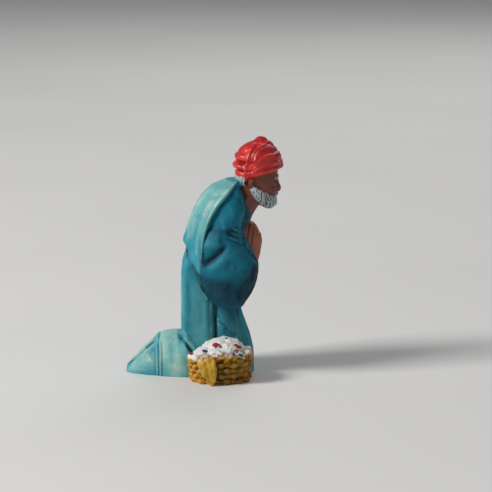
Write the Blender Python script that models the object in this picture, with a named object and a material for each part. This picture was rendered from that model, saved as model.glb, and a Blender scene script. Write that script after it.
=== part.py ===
"""A kneeling shepherd for a nativity scene, with a basket at the right knee, moulded in one piece.

Metres, +Z up. The figure faces +X, its left side is +Y, and the origin lies on the flat underside,
below the middle of the robe. It is built as a sculptor works: closed forms are laid into each other,
fused into one skin, carved with strokes, thinned to few faces and cut flat at the ground.
"""

import math

import bmesh
import bpy
import numpy as np

MM = 0.001

# Driving sizes
FIGURE_HEIGHT = 28.5 * MM
BASKET_LENGTH = 8.0 * MM
BASKET_WIDTH = 7.4 * MM
BASKET_HEIGHT = 3.3 * MM
BASKET_HEAP = 1.9 * MM
BASKET_OVERLAP = 2.4 * MM
BASKET_FORWARD = 2.45 * MM
WICKER_ROD = 0.66 * MM

# The figure is drawn 28.5 units tall, so one unit is one millimetre at that height
DRAWN_HEIGHT = 28.5
UNIT = FIGURE_HEIGHT / DRAWN_HEIGHT

# Fineness of the skin
SKIN_CELL = 0.2 * UNIT
SKIN_FACES = 9600
RING_POINTS = 44
BELOW_GROUND = 0.7

PAINT_COLOUR = (0.06, 0.27, 0.31, 1.0)
PAINT_ROUGHNESS = 0.45

# Upright forms: height, back, front, right side, left side, squareness of the section
ROBE = [
    (-0.7, -1.6, 6.4, -4.1, 4.1, 2.7),
    (1.2, -1.6, 6.5, -4.1, 4.1, 2.6),
    (2.6, -1.65, 6.45, -4.0, 4.0, 2.5),
    (4.3, -1.7, 6.05, -3.85, 3.85, 2.4),
    (6.1, -1.8, 5.45, -3.75, 3.75, 2.4),
    (7.6, -1.9, 4.95, -3.7, 3.7, 2.4),
    (9.5, -2.0, 4.75, -3.8, 3.8, 2.4),
    (11.6, -2.1, 4.8, -4.1, 4.1, 2.4),
    (13.2, -1.9, 5.0, -4.2, 4.2, 2.3),
    (14.0, -1.6, 5.3, -4.3, 4.3, 2.3),
    (15.5, -1.2, 5.2, -4.4, 4.4, 2.2),
    (17.5, -0.8, 5.6, -4.4, 4.4, 2.1),
    (18.6, -0.4, 6.2, -4.25, 4.25, 2.0),
    (19.4, 0.0, 5.9, -4.1, 4.1, 2.0),
    (21.0, 1.1, 5.3, -3.3, 3.3, 2.0),
    (22.2, 2.1, 5.0, -2.3, 2.3, 2.0),
    (22.8, 2.9, 4.6, -1.2, 1.2, 2.0),
]
# The robe's back panel stands proud of the thighs, with a straight edge down each side
PANEL = [
    (-0.7, -2.1, 1.75, -4.3, 4.3, 6.0),
    (2.0, -2.15, 1.7, -4.3, 4.3, 6.0),
    (4.3, -2.25, 1.6, -4.25, 4.25, 6.0),
    (7.0, -2.3, 1.5, -4.15, 4.15, 5.5),
    (10.0, -2.3, 1.4, -4.15, 4.15, 4.5),
    (12.4, -2.25, 1.3, -4.2, 4.2, 3.4),
    (13.7, -2.0, 1.3, -4.2, 4.2, 3.0),
    (14.4, -1.5, 1.2, -4.1, 4.1, 3.0),
]
SLEEVE = [
    (8.15, 3.4, 4.4, -4.1, -3.0, 2.0),
    (8.55, 2.0, 5.2, -4.8, -2.2, 2.0),
    (9.5, 0.8, 5.65, -5.3, -1.3, 2.1),
    (11.0, -0.2, 6.35, -5.6, -0.7, 2.1),
    (12.4, -0.6, 6.8, -5.75, -0.4, 2.1),
    (13.6, -0.7, 6.75, -5.8, -0.4, 2.1),
    (15.0, -0.7, 5.65, -5.75, -0.4, 2.1),
    (16.4, -0.6, 5.1, -5.65, -0.5, 2.1),
    (17.8, -0.4, 4.95, -5.4, -0.5, 2.1),
    (19.5, 0.2, 5.35, -4.85, -0.6, 2.1),
    (21.0, 1.5, 5.3, -3.95, -0.8, 2.0),
    (22.2, 2.8, 4.95, -2.85, -1.0, 2.0),
    (22.7, 3.5, 4.7, -2.2, -1.2, 2.0),
]
HAND = [
    (12.7, 5.4, 6.75, -1.0, 0.25, 2.0),
    (13.4, 4.6, 6.95, -1.5, 0.25, 2.0),
    (14.4, 3.8, 7.2, -2.0, 0.25, 2.0),
    (15.5, 3.5, 7.35, -2.15, 0.25, 2.0),
    (16.5, 3.5, 7.2, -2.1, 0.25, 2.0),
    (17.3, 3.9, 6.9, -1.7, 0.25, 2.0),
    (17.9, 4.6, 6.45, -1.15, 0.25, 2.0),
    (18.2, 5.2, 5.9, -0.6, 0.25, 2.0),
]
HEAD = [
    (20.0, 7.2, 8.3, -0.6, 0.6, 2.0),
    (20.4, 6.7, 8.85, -1.15, 1.15, 2.1),
    (21.2, 5.9, 9.1, -1.65, 1.65, 2.1),
    (22.2, 5.1, 9.2, -1.95, 1.95, 2.1),
    (23.4, 4.7, 9.25, -2.1, 2.1, 2.1),
    (24.6, 4.5, 9.3, -2.15, 2.15, 2.1),
    (26.0, 4.9, 9.0, -2.0, 2.0, 2.0),
    (27.0, 5.8, 8.3, -1.3, 1.3, 2.0),
]

# Lying forms: how far forward, top, how far its middle lies to the left, half the width, squareness
CALVES = [
    (1.5, 4.4, 0.0, 4.0, 2.6),
    (-1.0, 5.0, 0.0, 4.4, 2.5),
    (-2.6, 4.85, 0.0, 4.4, 2.4),
    (-4.0, 4.75, 0.0, 4.1, 2.4),
    (-4.8, 4.5, 0.0, 3.75, 2.4),
    (-4.95, 3.9, 0.0, 3.2, 2.4),
]
FOOT = [
    (-3.6, 4.1, 1.85, 1.9, 2.3),
    (-4.8, 4.25, 1.8, 1.9, 2.3),
    (-5.45, 3.9, 1.7, 1.85, 2.3),
    (-6.4, 3.05, 1.5, 1.7, 2.2),
    (-7.4, 2.05, 1.2, 1.5, 2.1),
    (-8.3, 1.05, 0.9, 1.15, 2.0),
    (-8.9, 0.45, 0.75, 0.65, 2.0),
]
NEAR_FOOT_DROP = 0.93

# The cape: height, back, widest place, half width, and where its front edge runs
CAPE = [
    (23.35, 3.3, 4.1, 1.5, 4.6),
    (22.5, 1.3, 3.6, 3.1, 3.9),
    (21.3, 0.1, 3.2, 4.3, 2.6),
    (19.5, -0.9, 2.8, 5.2, 1.3),
    (17.6, -1.55, 2.5, 5.65, 0.5),
    (15.9, -2.1, 2.3, 5.75, 0.2),
    (14.0, -2.1, 2.3, 5.7, 0.1),
    (12.2, -1.9, 2.3, 5.5, 0.1),
    (10.3, -1.7, 2.3, 5.3, 0.4),
    (9.0, -1.6, 2.3, 5.1, 1.1),
]
CAPE_NAPE = 23.3
# The hem's height from the middle of the back to the front corner
CAPE_HEM = [16.0, 15.7, 14.6, 12.6, 10.6, 9.3]
CAPE_THICKNESS = 1.3
CAPE_RIM = 0.3
CAPE_RIM_PROUD = 0.14

# Tubes: forward, to the left, up, radius
NECK = [(4.2, 0.0, 18.6, 1.75), (5.2, 0.0, 20.4, 1.75), (6.4, 0.0, 22.4, 1.85)]
BEARD = [
    (6.15, 1.9, 22.5, 0.35),
    (6.65, 1.9, 21.9, 0.6),
    (7.25, 1.7, 21.3, 0.78),
    (7.9, 1.2, 20.8, 0.85),
    (8.3, 0.55, 20.6, 0.9),
]
MOUSTACHE = [(9.15, 0.0, 21.5, 0.26), (8.95, 0.6, 21.3, 0.28), (8.4, 1.15, 21.0, 0.26)]
NOSE = [(9.1, 0.0, 23.2, 0.28), (9.25, 0.0, 22.6, 0.32), (9.35, 0.0, 22.15, 0.4), (9.1, 0.0, 21.9, 0.32)]
BROW = [(9.2, 0.0, 23.5, 0.3), (9.1, 0.75, 23.55, 0.32), (8.55, 1.4, 23.4, 0.3)]
EAR = [(6.35, 2.05, 22.3, 0.22), (6.1, 2.2, 22.8, 0.32), (6.15, 2.2, 23.3, 0.3)]
NAPE_HAIR = [(4.35, 0.0, 23.1, 0.75), (4.45, 1.0, 23.1, 0.7), (4.95, 1.7, 23.0, 0.5)]
CUFF = [
    (4.9, 2.1, 17.0, 0.36),
    (5.75, 2.2, 15.1, 0.42),
    (6.6, 2.5, 13.2, 0.45),
    (6.2, 3.1, 11.0, 0.42),
    (5.3, 3.5, 9.4, 0.38),
    (4.4, 3.7, 8.6, 0.34),
]

# The turban's dome: forward, to the left, up, then the half length, width and height
TURBAN_DOME = (6.95, 0.0, 25.1, 2.95, 2.7, 2.8)
TURBAN_KNOT = (7.4, 0.0, 27.4, 1.0, 0.95, 1.05)

# The turban's rolls on each side. A point is an angle round from the front, an angle up, and a radius
TURBAN_ROLLS = [
    [(121, -33, 0.4), (92, -24, 0.45), (50, -13, 0.45), (0, -8, 0.45)],
    [(119, -28, 0.4), (92, -9, 0.55), (50, 2, 0.6), (0, 7, 0.6)],
    [(117, -24, 0.4), (95, 8, 0.5), (55, 20, 0.6), (0, 30, 0.6)],
    [(115, -20, 0.4), (100, 22, 0.45), (75, 46, 0.5), (0, 62, 0.5)],
    [(122, -30, 0.4), (113, 12, 0.45), (108, 48, 0.45), (90, 82, 0.4)],
    [(112, -12, 0.4), (145, -5, 0.6), (180, -3, 0.65)],
    [(118, -32, 0.35), (150, -29, 0.5), (180, -28, 0.5)],
]
ROLL_PROUD = 0.17

# Carving strokes: where the surface faces, the route, the width and the depth of the cut.
# A route on a side is forward and up, one on the front or the back is to the left and up.
# A negative depth raises a ridge.
SIDES, FRONT, BACK = "sides", "front", "back"
STROKES = [
    # Robe: the fold over the calves, the hollow beside the panel, the crease over the knee
    (SIDES, [(-2.6, 4.9), (-1.7, 3.7), (-0.6, 2.4), (0.3, 0.9)], 0.3, 0.45),
    (SIDES, [(2.3, 8.8), (2.35, 6.0), (2.5, 3.4)], 0.5, 0.25),
    (SIDES, [(3.0, 6.2), (3.5, 5.2), (4.5, 4.5)], 0.3, 0.25),
    # Hem over the ankles, and the heel's crease
    (SIDES, [(-4.45, 4.6), (-4.35, 2.2), (-4.3, 0.0)], 0.16, -0.2),
    (SIDES, [(-4.95, 4.2), (-4.8, 2.2), (-4.7, 0.0)], 0.16, -0.16),
    (SIDES, [(-5.0, 2.6), (-5.7, 2.8), (-6.3, 2.5)], 0.2, 0.22),
    # Sleeve: the fold inside the elbow, the cloth above and below it, the pulls at the wrist
    (SIDES, [(0.9, 12.9), (1.9, 13.4), (3.0, 14.7), (3.4, 15.6)], 0.48, 0.62),
    (SIDES, [(0.9, 16.1), (1.8, 16.3), (2.6, 15.9)], 0.6, -0.3),
    (SIDES, [(1.2, 12.1), (2.5, 12.6), (3.7, 13.9)], 0.5, -0.25),
    (SIDES, [(1.2, 17.6), (2.2, 17.3), (3.3, 17.8)], 0.5, 0.25),
    (SIDES, [(5.2, 17.2), (4.4, 17.3), (3.5, 17.7)], 0.24, 0.26),
    (SIDES, [(5.2, 16.4), (4.3, 16.5), (3.3, 17.0)], 0.24, 0.3),
    (SIDES, [(5.2, 15.5), (4.3, 15.7), (3.1, 16.1)], 0.24, 0.3),
    # Beside the cape's rim, and under its hem
    (SIDES, [(4.9, 22.4), (3.2, 21.3), (1.8, 19.5), (1.05, 17.6), (0.8, 15.9)], 0.22, 0.25),
    (SIDES, [(0.75, 14.6), (0.7, 12.4), (0.9, 10.6)], 0.2, 0.22),
    (SIDES, [(-1.4, 13.7), (-0.8, 12.0), (0.0, 10.2)], 0.28, 0.25),
    # Between the fingers
    (SIDES, [(6.9, 17.9), (7.0, 15.8), (6.8, 14.2)], 0.16, 0.2),
    (SIDES, [(6.2, 18.2), (6.35, 15.9), (6.3, 14.6)], 0.16, 0.2),
    # Face: the eye sockets and the line of the mouth
    (FRONT, [(0.65, 22.95), (1.1, 22.9)], 0.3, 0.3),
    (FRONT, [(-0.65, 22.95), (-1.1, 22.9)], 0.3, 0.3),
    # Robe's front: between the thighs, and the pleats that fall from the waist
    (FRONT, [(0.0, 8.6), (0.1, 5.0), (0.0, -0.2)], 0.55, 0.55),
    (FRONT, [(2.1, 8.8), (2.6, 5.6), (2.5, 3.4)], 0.35, 0.3),
    (FRONT, [(-2.1, 8.8), (-2.6, 5.6), (-2.5, 3.4)], 0.35, 0.3),
    # Back: pleats under the cape, soft folds on the cape
    (BACK, [(0.0, 14.8), (0.2, 10.0), (0.1, 5.0)], 0.45, 0.35),
    (BACK, [(1.9, 14.6), (2.2, 10.0), (2.4, 5.0)], 0.4, 0.3),
    (BACK, [(-1.9, 14.6), (-2.2, 10.0), (-2.4, 5.0)], 0.4, 0.3),
    (BACK, [(1.4, 21.5), (1.8, 18.8), (1.7, 16.2)], 0.5, 0.22),
    (BACK, [(-1.4, 21.5), (-1.8, 18.8), (-1.7, 16.2)], 0.5, 0.22),
    # Between the calves
    (BACK, [(0.0, 5.0), (0.0, 3.0)], 0.7, 0.4),
]


def smooth_rows(rows, count):
    """The rows read as one smooth curve, sampled at even steps."""
    rows = np.array(rows, float)
    padded = np.vstack([2 * rows[0] - rows[1], rows, 2 * rows[-1] - rows[-2]])
    at = np.linspace(0, len(rows) - 1, count)
    first = np.minimum(at.astype(int), len(rows) - 2)
    part = (at - first)[:, None]
    before, start, end, after = (padded[first + step] for step in range(4))
    return (
        start
        + 0.5 * (end - before) * part
        + (before - 2.5 * start + 2 * end - 0.5 * after) * part**2
        + 0.5 * (3 * (start - end) + after - before) * part**3
    )


def oval(centre, along, across, power, count=RING_POINTS):
    """One section: a superellipse spanned by the vectors along and across."""
    angle = np.arange(count) * 2 * math.pi / count
    cos = np.sign(np.cos(angle)) * np.abs(np.cos(angle)) ** (2 / power)
    sin = np.sign(np.sin(angle)) * np.abs(np.sin(angle)) ** (2 / power)
    return np.array(centre) + np.outer(cos, along) + np.outer(sin, across)


def skin_rings(bm, rings):
    """A closed body through the rings, which all have the same number of points."""
    loops = [[bm.verts.new(point) for point in ring] for ring in rings]
    count = len(loops[0])
    faces = [bm.faces.new(loops[0]), bm.faces.new(loops[-1])]
    for lower, upper in zip(loops, loops[1:]):
        for i in range(count):
            j = (i + 1) % count
            faces.append(bm.faces.new((lower[i], lower[j], upper[j], upper[i])))
    bmesh.ops.recalc_face_normals(bm, faces=faces)


def upright(bm, rows, side=1, steps=40):
    """A body of level sections. side -1 mirrors it to the other side of the figure."""
    rings = []
    for height, back, front, right, left, power in smooth_rows(rows, steps):
        centre = ((back + front) / 2, side * (right + left) / 2, height)
        along = ((front - back) / 2, 0, 0)
        rings.append(oval(centre, along, (0, (left - right) / 2, 0), power))
    skin_rings(bm, rings)


def lying(bm, rows, side=1, top_share=1.0, steps=24):
    """A domed body along the ground, whose lower half is cut away later. side -1 mirrors it."""
    rings = []
    for forward, top, centre, half, power in smooth_rows(rows, steps):
        middle = (forward, side * centre, 0)
        rings.append(oval(middle, (0, 0, top * top_share), (0, half, 0), power))
    skin_rings(bm, rings)


def tube(bm, rows, side=1, steps=14, count=14):
    """A round bar along a smooth route, with its own radius at each point."""
    route = smooth_rows(rows, steps)
    points = route[:, :3] * (1, side, 1)
    heading = np.gradient(points, axis=0)
    heading /= np.linalg.norm(heading, axis=1)[:, None]
    helper = np.array((0.0, 0.0, 1.0))
    if np.abs(heading @ helper).max() > 0.9:
        helper = np.array((0.0, 1.0, 0.0))
    rings = []
    for point, ahead, radius in zip(points, heading, route[:, 3]):
        across = np.cross(ahead, helper)
        across /= np.linalg.norm(across)
        up = np.cross(across, ahead)
        rings.append(oval(point, across * radius, up * radius, 2, count))
    skin_rings(bm, rings)


def ball(bm, shape):
    """An egg with its own half length, width and height."""
    made = bmesh.ops.create_uvsphere(bm, u_segments=28, v_segments=18, radius=1.0)
    bmesh.ops.scale(bm, vec=shape[3:], verts=made["verts"])
    bmesh.ops.translate(bm, vec=shape[:3], verts=made["verts"])


def on_dome(points):
    """The turban roll's points as places: each bar stands a little proud of the dome."""
    places = []
    for round_deg, up_deg, radius in points:
        turn, rise = math.radians(round_deg), math.radians(up_deg)
        way = (math.cos(rise) * math.cos(turn), math.cos(rise) * math.sin(turn), math.sin(rise))
        reach = [half - radius + ROLL_PROUD for half in TURBAN_DOME[3:]]
        place = [TURBAN_DOME[k] + way[k] * reach[k] for k in range(3)]
        places.append((*place, radius))
    return places


def cape_point(height, share, inset):
    """A point of the cape: share runs from -1 at the right front edge over 0 at the back to 1."""
    rows = np.array(CAPE)[::-1]
    back, middle, half, edge = (np.interp(height, rows[:, 0], rows[:, k]) for k in (1, 2, 3, 4))
    depth = middle - back - inset
    half = half - inset
    limit = math.acos(np.clip((middle - edge) / depth, -1, 1))
    angle = share * limit
    return (middle - depth * math.cos(angle), half * math.sin(angle), height)


def cape(bm, across=40, down=26):
    """The cape: a thick open sheet round the back, with a rim down each front edge."""
    rings = []
    for share in np.linspace(-1, 1, across):
        hem = np.interp(abs(share), np.linspace(0, 1, len(CAPE_HEM)), CAPE_HEM)
        heights = np.linspace(CAPE_NAPE, hem, down)
        outer = [cape_point(height, share, 0.0) for height in heights]
        inner = [cape_point(height, share, CAPE_THICKNESS) for height in heights[::-1]]
        rings.append(outer + inner)
    skin_rings(bm, rings)
    for side in (-1, 1):
        edge = np.linspace(CAPE_NAPE, CAPE_HEM[-1], 12)
        rim = [cape_point(height, side, CAPE_RIM - CAPE_RIM_PROUD) for height in edge]
        tube(bm, [(*place, CAPE_RIM) for place in rim], steps=30)


def head_and_turban(bm):
    upright(bm, HEAD)
    tube(bm, NECK, steps=10, count=24)
    ball(bm, TURBAN_DOME)
    ball(bm, TURBAN_KNOT)
    tube(bm, NOSE)
    for side in (-1, 1):
        tube(bm, BEARD, side)
        tube(bm, MOUSTACHE, side)
        tube(bm, BROW, side)
        tube(bm, EAR, side)
        tube(bm, NAPE_HAIR, side)
        for roll in TURBAN_ROLLS:
            tube(bm, on_dome(roll), side)


def robe_and_limbs(bm):
    upright(bm, ROBE)
    upright(bm, PANEL)
    lying(bm, CALVES)
    lying(bm, FOOT)
    lying(bm, FOOT, -1, NEAR_FOOT_DROP)
    cape(bm)
    for side in (-1, 1):
        upright(bm, SLEEVE, -side)
        upright(bm, HAND, side)
        tube(bm, CUFF, side)


def basket(bm):
    """An oval wicker basket against the robe's right side, heaped with round loaves and blossoms."""
    half_length = BASKET_LENGTH / UNIT / 2
    half_width = BASKET_WIDTH / UNIT / 2
    height = BASKET_HEIGHT / UNIT
    rod = WICKER_ROD / UNIT
    robe_side = -ROBE[1][3]
    middle = -(robe_side + half_width - BASKET_OVERLAP / UNIT)
    forward = BASKET_FORWARD / UNIT
    rows = max(2, round(height / rod))
    rings = []
    for level in np.linspace(-BELOW_GROUND, height, 6 * rows + 1):
        flare = 0.93 + 0.07 * max(level, 0) / height
        bulge = 0.5 * rod * abs(math.sin(math.pi * level / height * rows))
        rings.append(
            oval(
                (forward, middle, level),
                (half_length * flare - 0.5 * rod + bulge, 0, 0),
                (0, half_width * flare - 0.5 * rod + bulge, 0),
                2.3,
            )
        )
    skin_rings(bm, rings)
    heap = BASKET_HEAP / UNIT
    for across, along, size in ((-0.1, 0.12, 1.0), (0.1, -0.55, 0.62), (-0.1, 0.6, 0.6)):
        place = (forward + along * half_length, middle + across * half_width, height)
        reach = (half_length * 0.62 * size, half_width * 0.72 * size, heap * size)
        ball(bm, place + reach)
    for turn in np.linspace(0.35, 2 * math.pi, 9, endpoint=False):
        spot = (
            forward + 0.78 * half_length * math.cos(turn),
            middle + 0.74 * half_width * math.sin(turn),
            height - 0.1 * heap,
        )
        ball(bm, spot + (0.85, 0.75, 0.6))
    corner = [
        (forward - 0.52 * half_length, middle - 0.76 * half_width, height * 0.98, 0.45),
        (forward - 0.44 * half_length, middle - 0.96 * half_width, height * 0.7, 0.5),
        (forward - 0.32 * half_length, middle - 1.02 * half_width, height * 0.3, 0.38),
        (forward - 0.18 * half_length, middle - 1.08 * half_width, 0.1, 0.16),
    ]
    tube(bm, corner)


def object_of(name, mesh):
    made = bpy.data.objects.new(name, mesh)
    bpy.context.scene.collection.objects.link(made)
    return made


def evaluated_mesh(made):
    """The mesh with its modifiers, as a mesh of its own."""
    graph = bpy.context.evaluated_depsgraph_get()
    return bpy.data.meshes.new_from_object(made.evaluated_get(graph), depsgraph=graph)


def distance_to_route(points, route):
    """How far each point lies from the bent line."""
    nearest = np.full(len(points), np.inf)
    for start, end in zip(route, route[1:]):
        way = end - start
        share = np.clip((points - start) @ way / (way @ way), 0, 1)
        gap = np.linalg.norm(points - start - share[:, None] * way, axis=1)
        nearest = np.minimum(nearest, gap)
    return nearest


def facing(points, normals, where):
    """How squarely each point faces the stroke's side, and its place as seen from there."""
    if where in (FRONT, BACK):
        outward = normals[:, 0] * (1 if where == FRONT else -1)
        return np.clip(outward * 1.8, 0, 1), points[:, [1, 2]]
    return np.clip(np.abs(normals[:, 1]) * 1.6, 0, 1), points[:, [0, 2]]


def carve(mesh):
    """Presses the strokes into the skin, most where it faces their side, and never the basket."""
    count = len(mesh.vertices)
    points, normals = np.empty(count * 3), np.empty(count * 3)
    mesh.vertices.foreach_get("co", points)
    mesh.vertices.foreach_get("normal", normals)
    points, normals = points.reshape(-1, 3), normals.reshape(-1, 3)
    push = np.zeros(count)
    for where, route, width, depth in STROKES:
        share, seen = facing(points, normals, where)
        gap = distance_to_route(seen, np.array(route))
        push += depth * share * np.exp(-((gap / width) ** 2))
    basket_top = (BASKET_HEIGHT + BASKET_HEAP) / UNIT
    robe_side = ROBE[1][3] - 0.15
    push[(points[:, 1] < robe_side) & (points[:, 2] < basket_top)] = 0
    points -= normals * push[:, None]
    mesh.vertices.foreach_set("co", points.ravel())
    mesh.update()


def fused_skin():
    """All forms as one skin, carved and thinned, still in drawn units."""
    bm = bmesh.new()
    robe_and_limbs(bm)
    head_and_turban(bm)
    basket(bm)
    mesh = bpy.data.meshes.new("forms")
    bm.to_mesh(mesh)
    bm.free()
    forms = object_of("forms", mesh)
    fuse = forms.modifiers.new("fuse", "REMESH")
    fuse.mode = "VOXEL"
    fuse.voxel_size = SKIN_CELL / UNIT
    skin = evaluated_mesh(forms)
    bpy.data.objects.remove(forms)
    carve(skin)
    figure = object_of("skin", skin)
    ease = figure.modifiers.new("ease", "SMOOTH")
    ease.factor = 0.4
    ease.iterations = 1
    thin = figure.modifiers.new("thin", "DECIMATE")
    thin.ratio = SKIN_FACES / (2 * len(skin.polygons))
    thinned = evaluated_mesh(figure)
    bpy.data.objects.remove(figure)
    return thinned


def cut_flat(mesh):
    """Takes away what lies below the ground and closes the cut, then turns drawn units to metres."""
    bm = bmesh.new()
    bm.from_mesh(mesh)
    geometry = bm.verts[:] + bm.edges[:] + bm.faces[:]
    bmesh.ops.bisect_plane(
        bm, geom=geometry, plane_co=(0, 0, 0), plane_no=(0, 0, 1), clear_inner=True
    )
    bmesh.ops.holes_fill(bm, edges=bm.edges[:], sides=0)
    bmesh.ops.triangulate(bm, faces=[face for face in bm.faces if len(face.verts) > 3])
    bmesh.ops.recalc_face_normals(bm, faces=bm.faces[:])
    bmesh.ops.scale(bm, vec=(UNIT, UNIT, UNIT), verts=bm.verts[:])
    bm.to_mesh(mesh)
    bm.free()


def paint():
    material = bpy.data.materials.new("matt_paint_on_plastic")
    material.use_nodes = True
    shader = material.node_tree.nodes["Principled BSDF"]
    shader.inputs["Base Color"].default_value = PAINT_COLOUR
    shader.inputs["Roughness"].default_value = PAINT_ROUGHNESS
    return material


def main():
    for old in list(bpy.data.objects):
        bpy.data.objects.remove(old)
    mesh = fused_skin()
    cut_flat(mesh)
    mesh.materials.append(paint())
    mesh.shade_smooth()
    object_of("shepherd_figurine", mesh)


main()
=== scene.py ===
"""The looks of a kneeling nativity shepherd: moulded plastic, painted by hand, a basket at its knee.

The solid model is loaded first. Each painted part of the moulding is then modelled over it and given
its paint, and a floor, three lamps and a camera are set up. Everything is drawn in millimetres, because
a remesh in metres can't go finer than 0.1 mm, and each finished piece is brought to metres.
The figure faces +X, its left side is +Y and the ground is at 0.
"""

import math
from contextlib import contextmanager

import bpy
import numpy as np
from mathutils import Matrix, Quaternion, Vector, noise
from mathutils.bvhtree import BVHTree


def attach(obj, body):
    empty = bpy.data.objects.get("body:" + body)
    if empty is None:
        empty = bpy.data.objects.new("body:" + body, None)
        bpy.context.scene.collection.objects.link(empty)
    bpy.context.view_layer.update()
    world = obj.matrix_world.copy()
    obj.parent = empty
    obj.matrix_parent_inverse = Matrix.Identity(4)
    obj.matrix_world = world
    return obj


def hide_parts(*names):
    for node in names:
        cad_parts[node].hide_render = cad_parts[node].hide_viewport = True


bl_info = {
    "name": "Nativity Shepherd Figurine",
    "version": (1, 0, 0),
    "blender": (4, 5, 0),
    "location": "3D View > Sidebar > Shepherd",
    "description": "Models and paints a small kneeling nativity shepherd and sets its stage",
    "category": "Object",
}

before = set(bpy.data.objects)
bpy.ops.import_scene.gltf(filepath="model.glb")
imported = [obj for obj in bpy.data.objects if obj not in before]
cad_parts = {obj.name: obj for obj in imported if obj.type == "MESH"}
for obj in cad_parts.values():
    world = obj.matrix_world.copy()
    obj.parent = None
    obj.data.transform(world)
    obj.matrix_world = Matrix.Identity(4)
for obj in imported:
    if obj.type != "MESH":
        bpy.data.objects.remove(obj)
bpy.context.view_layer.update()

NODE = "shepherd_figurine"
MM = 0.001
MOST_TRIANGLES = 190000
# A loose part with fewer vertices is a speck that the remesh left
FEWEST_POINTS = 200


def linear(hex_colour):
    """An sRGB hex colour as the linear numbers that a shader reads."""
    channels = [int(hex_colour[k : k + 2], 16) / 255 for k in (1, 3, 5)]
    return tuple(c / 12.92 if c <= 0.04045 else ((c + 0.055) / 1.055) ** 2.4 for c in channels)


# Upright forms: height, back, front, right side, left side
ROBE = [
    (-0.7, -1.6, 6.4, -4.1, 4.1),
    (1.2, -1.6, 6.5, -4.1, 4.1),
    (2.6, -1.65, 6.45, -4.0, 4.0),
    (4.3, -1.7, 6.05, -3.85, 3.85),
    (6.1, -1.8, 5.45, -3.75, 3.75),
    (7.6, -1.9, 4.95, -3.7, 3.7),
    (9.5, -2.0, 4.75, -3.8, 3.8),
    (11.6, -2.1, 4.8, -4.1, 4.1),
    (13.2, -1.9, 5.0, -4.2, 4.2),
    (14.0, -1.75, 5.3, -4.3, 4.3),
    (15.5, -1.65, 5.2, -4.4, 4.4),
    (17.5, -0.8, 5.6, -4.4, 4.4),
    (18.6, -0.4, 6.2, -4.25, 4.25),
    (19.4, 0.0, 5.9, -4.1, 4.1),
    (21.0, 1.1, 5.3, -3.3, 3.3),
    (22.2, 2.0, 5.2, -2.4, 2.4),
    (22.8, 2.5, 5.3, -2.0, 2.0),
    (23.3, 3.3, 5.3, -1.4, 1.4),
]
PANEL = [
    (-0.7, -2.1, 1.75, -4.3, 4.3),
    (2.0, -2.15, 1.7, -4.3, 4.3),
    (4.3, -2.25, 1.6, -4.25, 4.25),
    (7.0, -2.3, 1.5, -4.15, 4.15),
    (10.0, -2.3, 1.4, -4.15, 4.15),
    (12.4, -2.25, 1.3, -4.1, 4.1),
    (13.7, -2.05, 1.3, -3.8, 3.8),
    (14.5, -1.7, 1.2, -3.3, 3.3),
    (15.2, -1.2, 1.0, -2.8, 2.8),
]
SLEEVE = [
    (8.15, 3.4, 4.4, -4.1, -3.0),
    (8.55, 2.0, 5.2, -4.8, -2.2),
    (9.5, 0.8, 5.65, -5.3, -1.3),
    (11.0, -0.2, 6.35, -5.6, -0.7),
    (12.4, -0.6, 6.8, -5.75, -0.4),
    (13.6, -0.7, 6.75, -5.8, -0.4),
    (15.0, -0.4, 5.65, -5.75, -0.4),
    (16.4, -0.1, 5.1, -5.65, -0.5),
    (17.8, 0.3, 4.95, -5.35, -0.5),
    (19.5, 0.9, 5.35, -4.8, -0.6),
    (21.0, 1.5, 5.3, -3.95, -0.8),
    (22.2, 2.8, 4.95, -2.85, -1.0),
    (22.7, 3.5, 4.7, -2.2, -1.2),
]
HAND = [
    (12.7, 5.4, 6.75, -1.0, 0.2),
    (13.4, 4.6, 6.95, -1.5, 0.2),
    (14.4, 3.8, 7.2, -2.0, 0.2),
    (15.5, 3.5, 7.35, -2.15, 0.2),
    (16.5, 3.5, 7.2, -2.1, 0.2),
    (17.3, 3.9, 6.9, -1.7, 0.2),
    (17.9, 4.6, 6.45, -1.15, 0.2),
    (18.2, 5.2, 5.9, -0.6, 0.2),
]
HEAD = [
    (20.0, 7.2, 8.3, -0.6, 0.6),
    (20.4, 6.7, 8.85, -1.15, 1.15),
    (21.2, 5.9, 9.1, -1.65, 1.65),
    (22.2, 5.1, 9.2, -1.95, 1.95),
    (23.4, 4.7, 9.25, -2.1, 2.1),
    (24.6, 4.5, 9.3, -2.15, 2.15),
    (26.0, 4.9, 9.0, -2.0, 2.0),
    (27.0, 5.8, 8.3, -1.3, 1.3),
]

# Lying forms: how far forward, top, how far its middle lies to the left, half the width
CALVES = [
    (1.5, 4.4, 0.0, 4.0),
    (-1.0, 5.0, 0.0, 4.4),
    (-2.6, 4.85, 0.0, 4.4),
    (-4.0, 4.75, 0.0, 4.1),
    (-4.8, 4.5, 0.0, 3.75),
    (-4.95, 3.9, 0.0, 3.2),
]
FOOT = [
    (-3.6, 4.1, 1.85, 1.9),
    (-4.8, 4.25, 1.8, 1.9),
    (-5.45, 3.9, 1.7, 1.85),
    (-6.4, 3.05, 1.5, 1.7),
    (-7.4, 2.05, 1.2, 1.5),
    (-8.3, 1.05, 0.9, 1.15),
    (-8.9, 0.45, 0.75, 0.65),
]
# The right foot lies a little lower than the left one
NEAR_FOOT_DROP = 0.93

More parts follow.
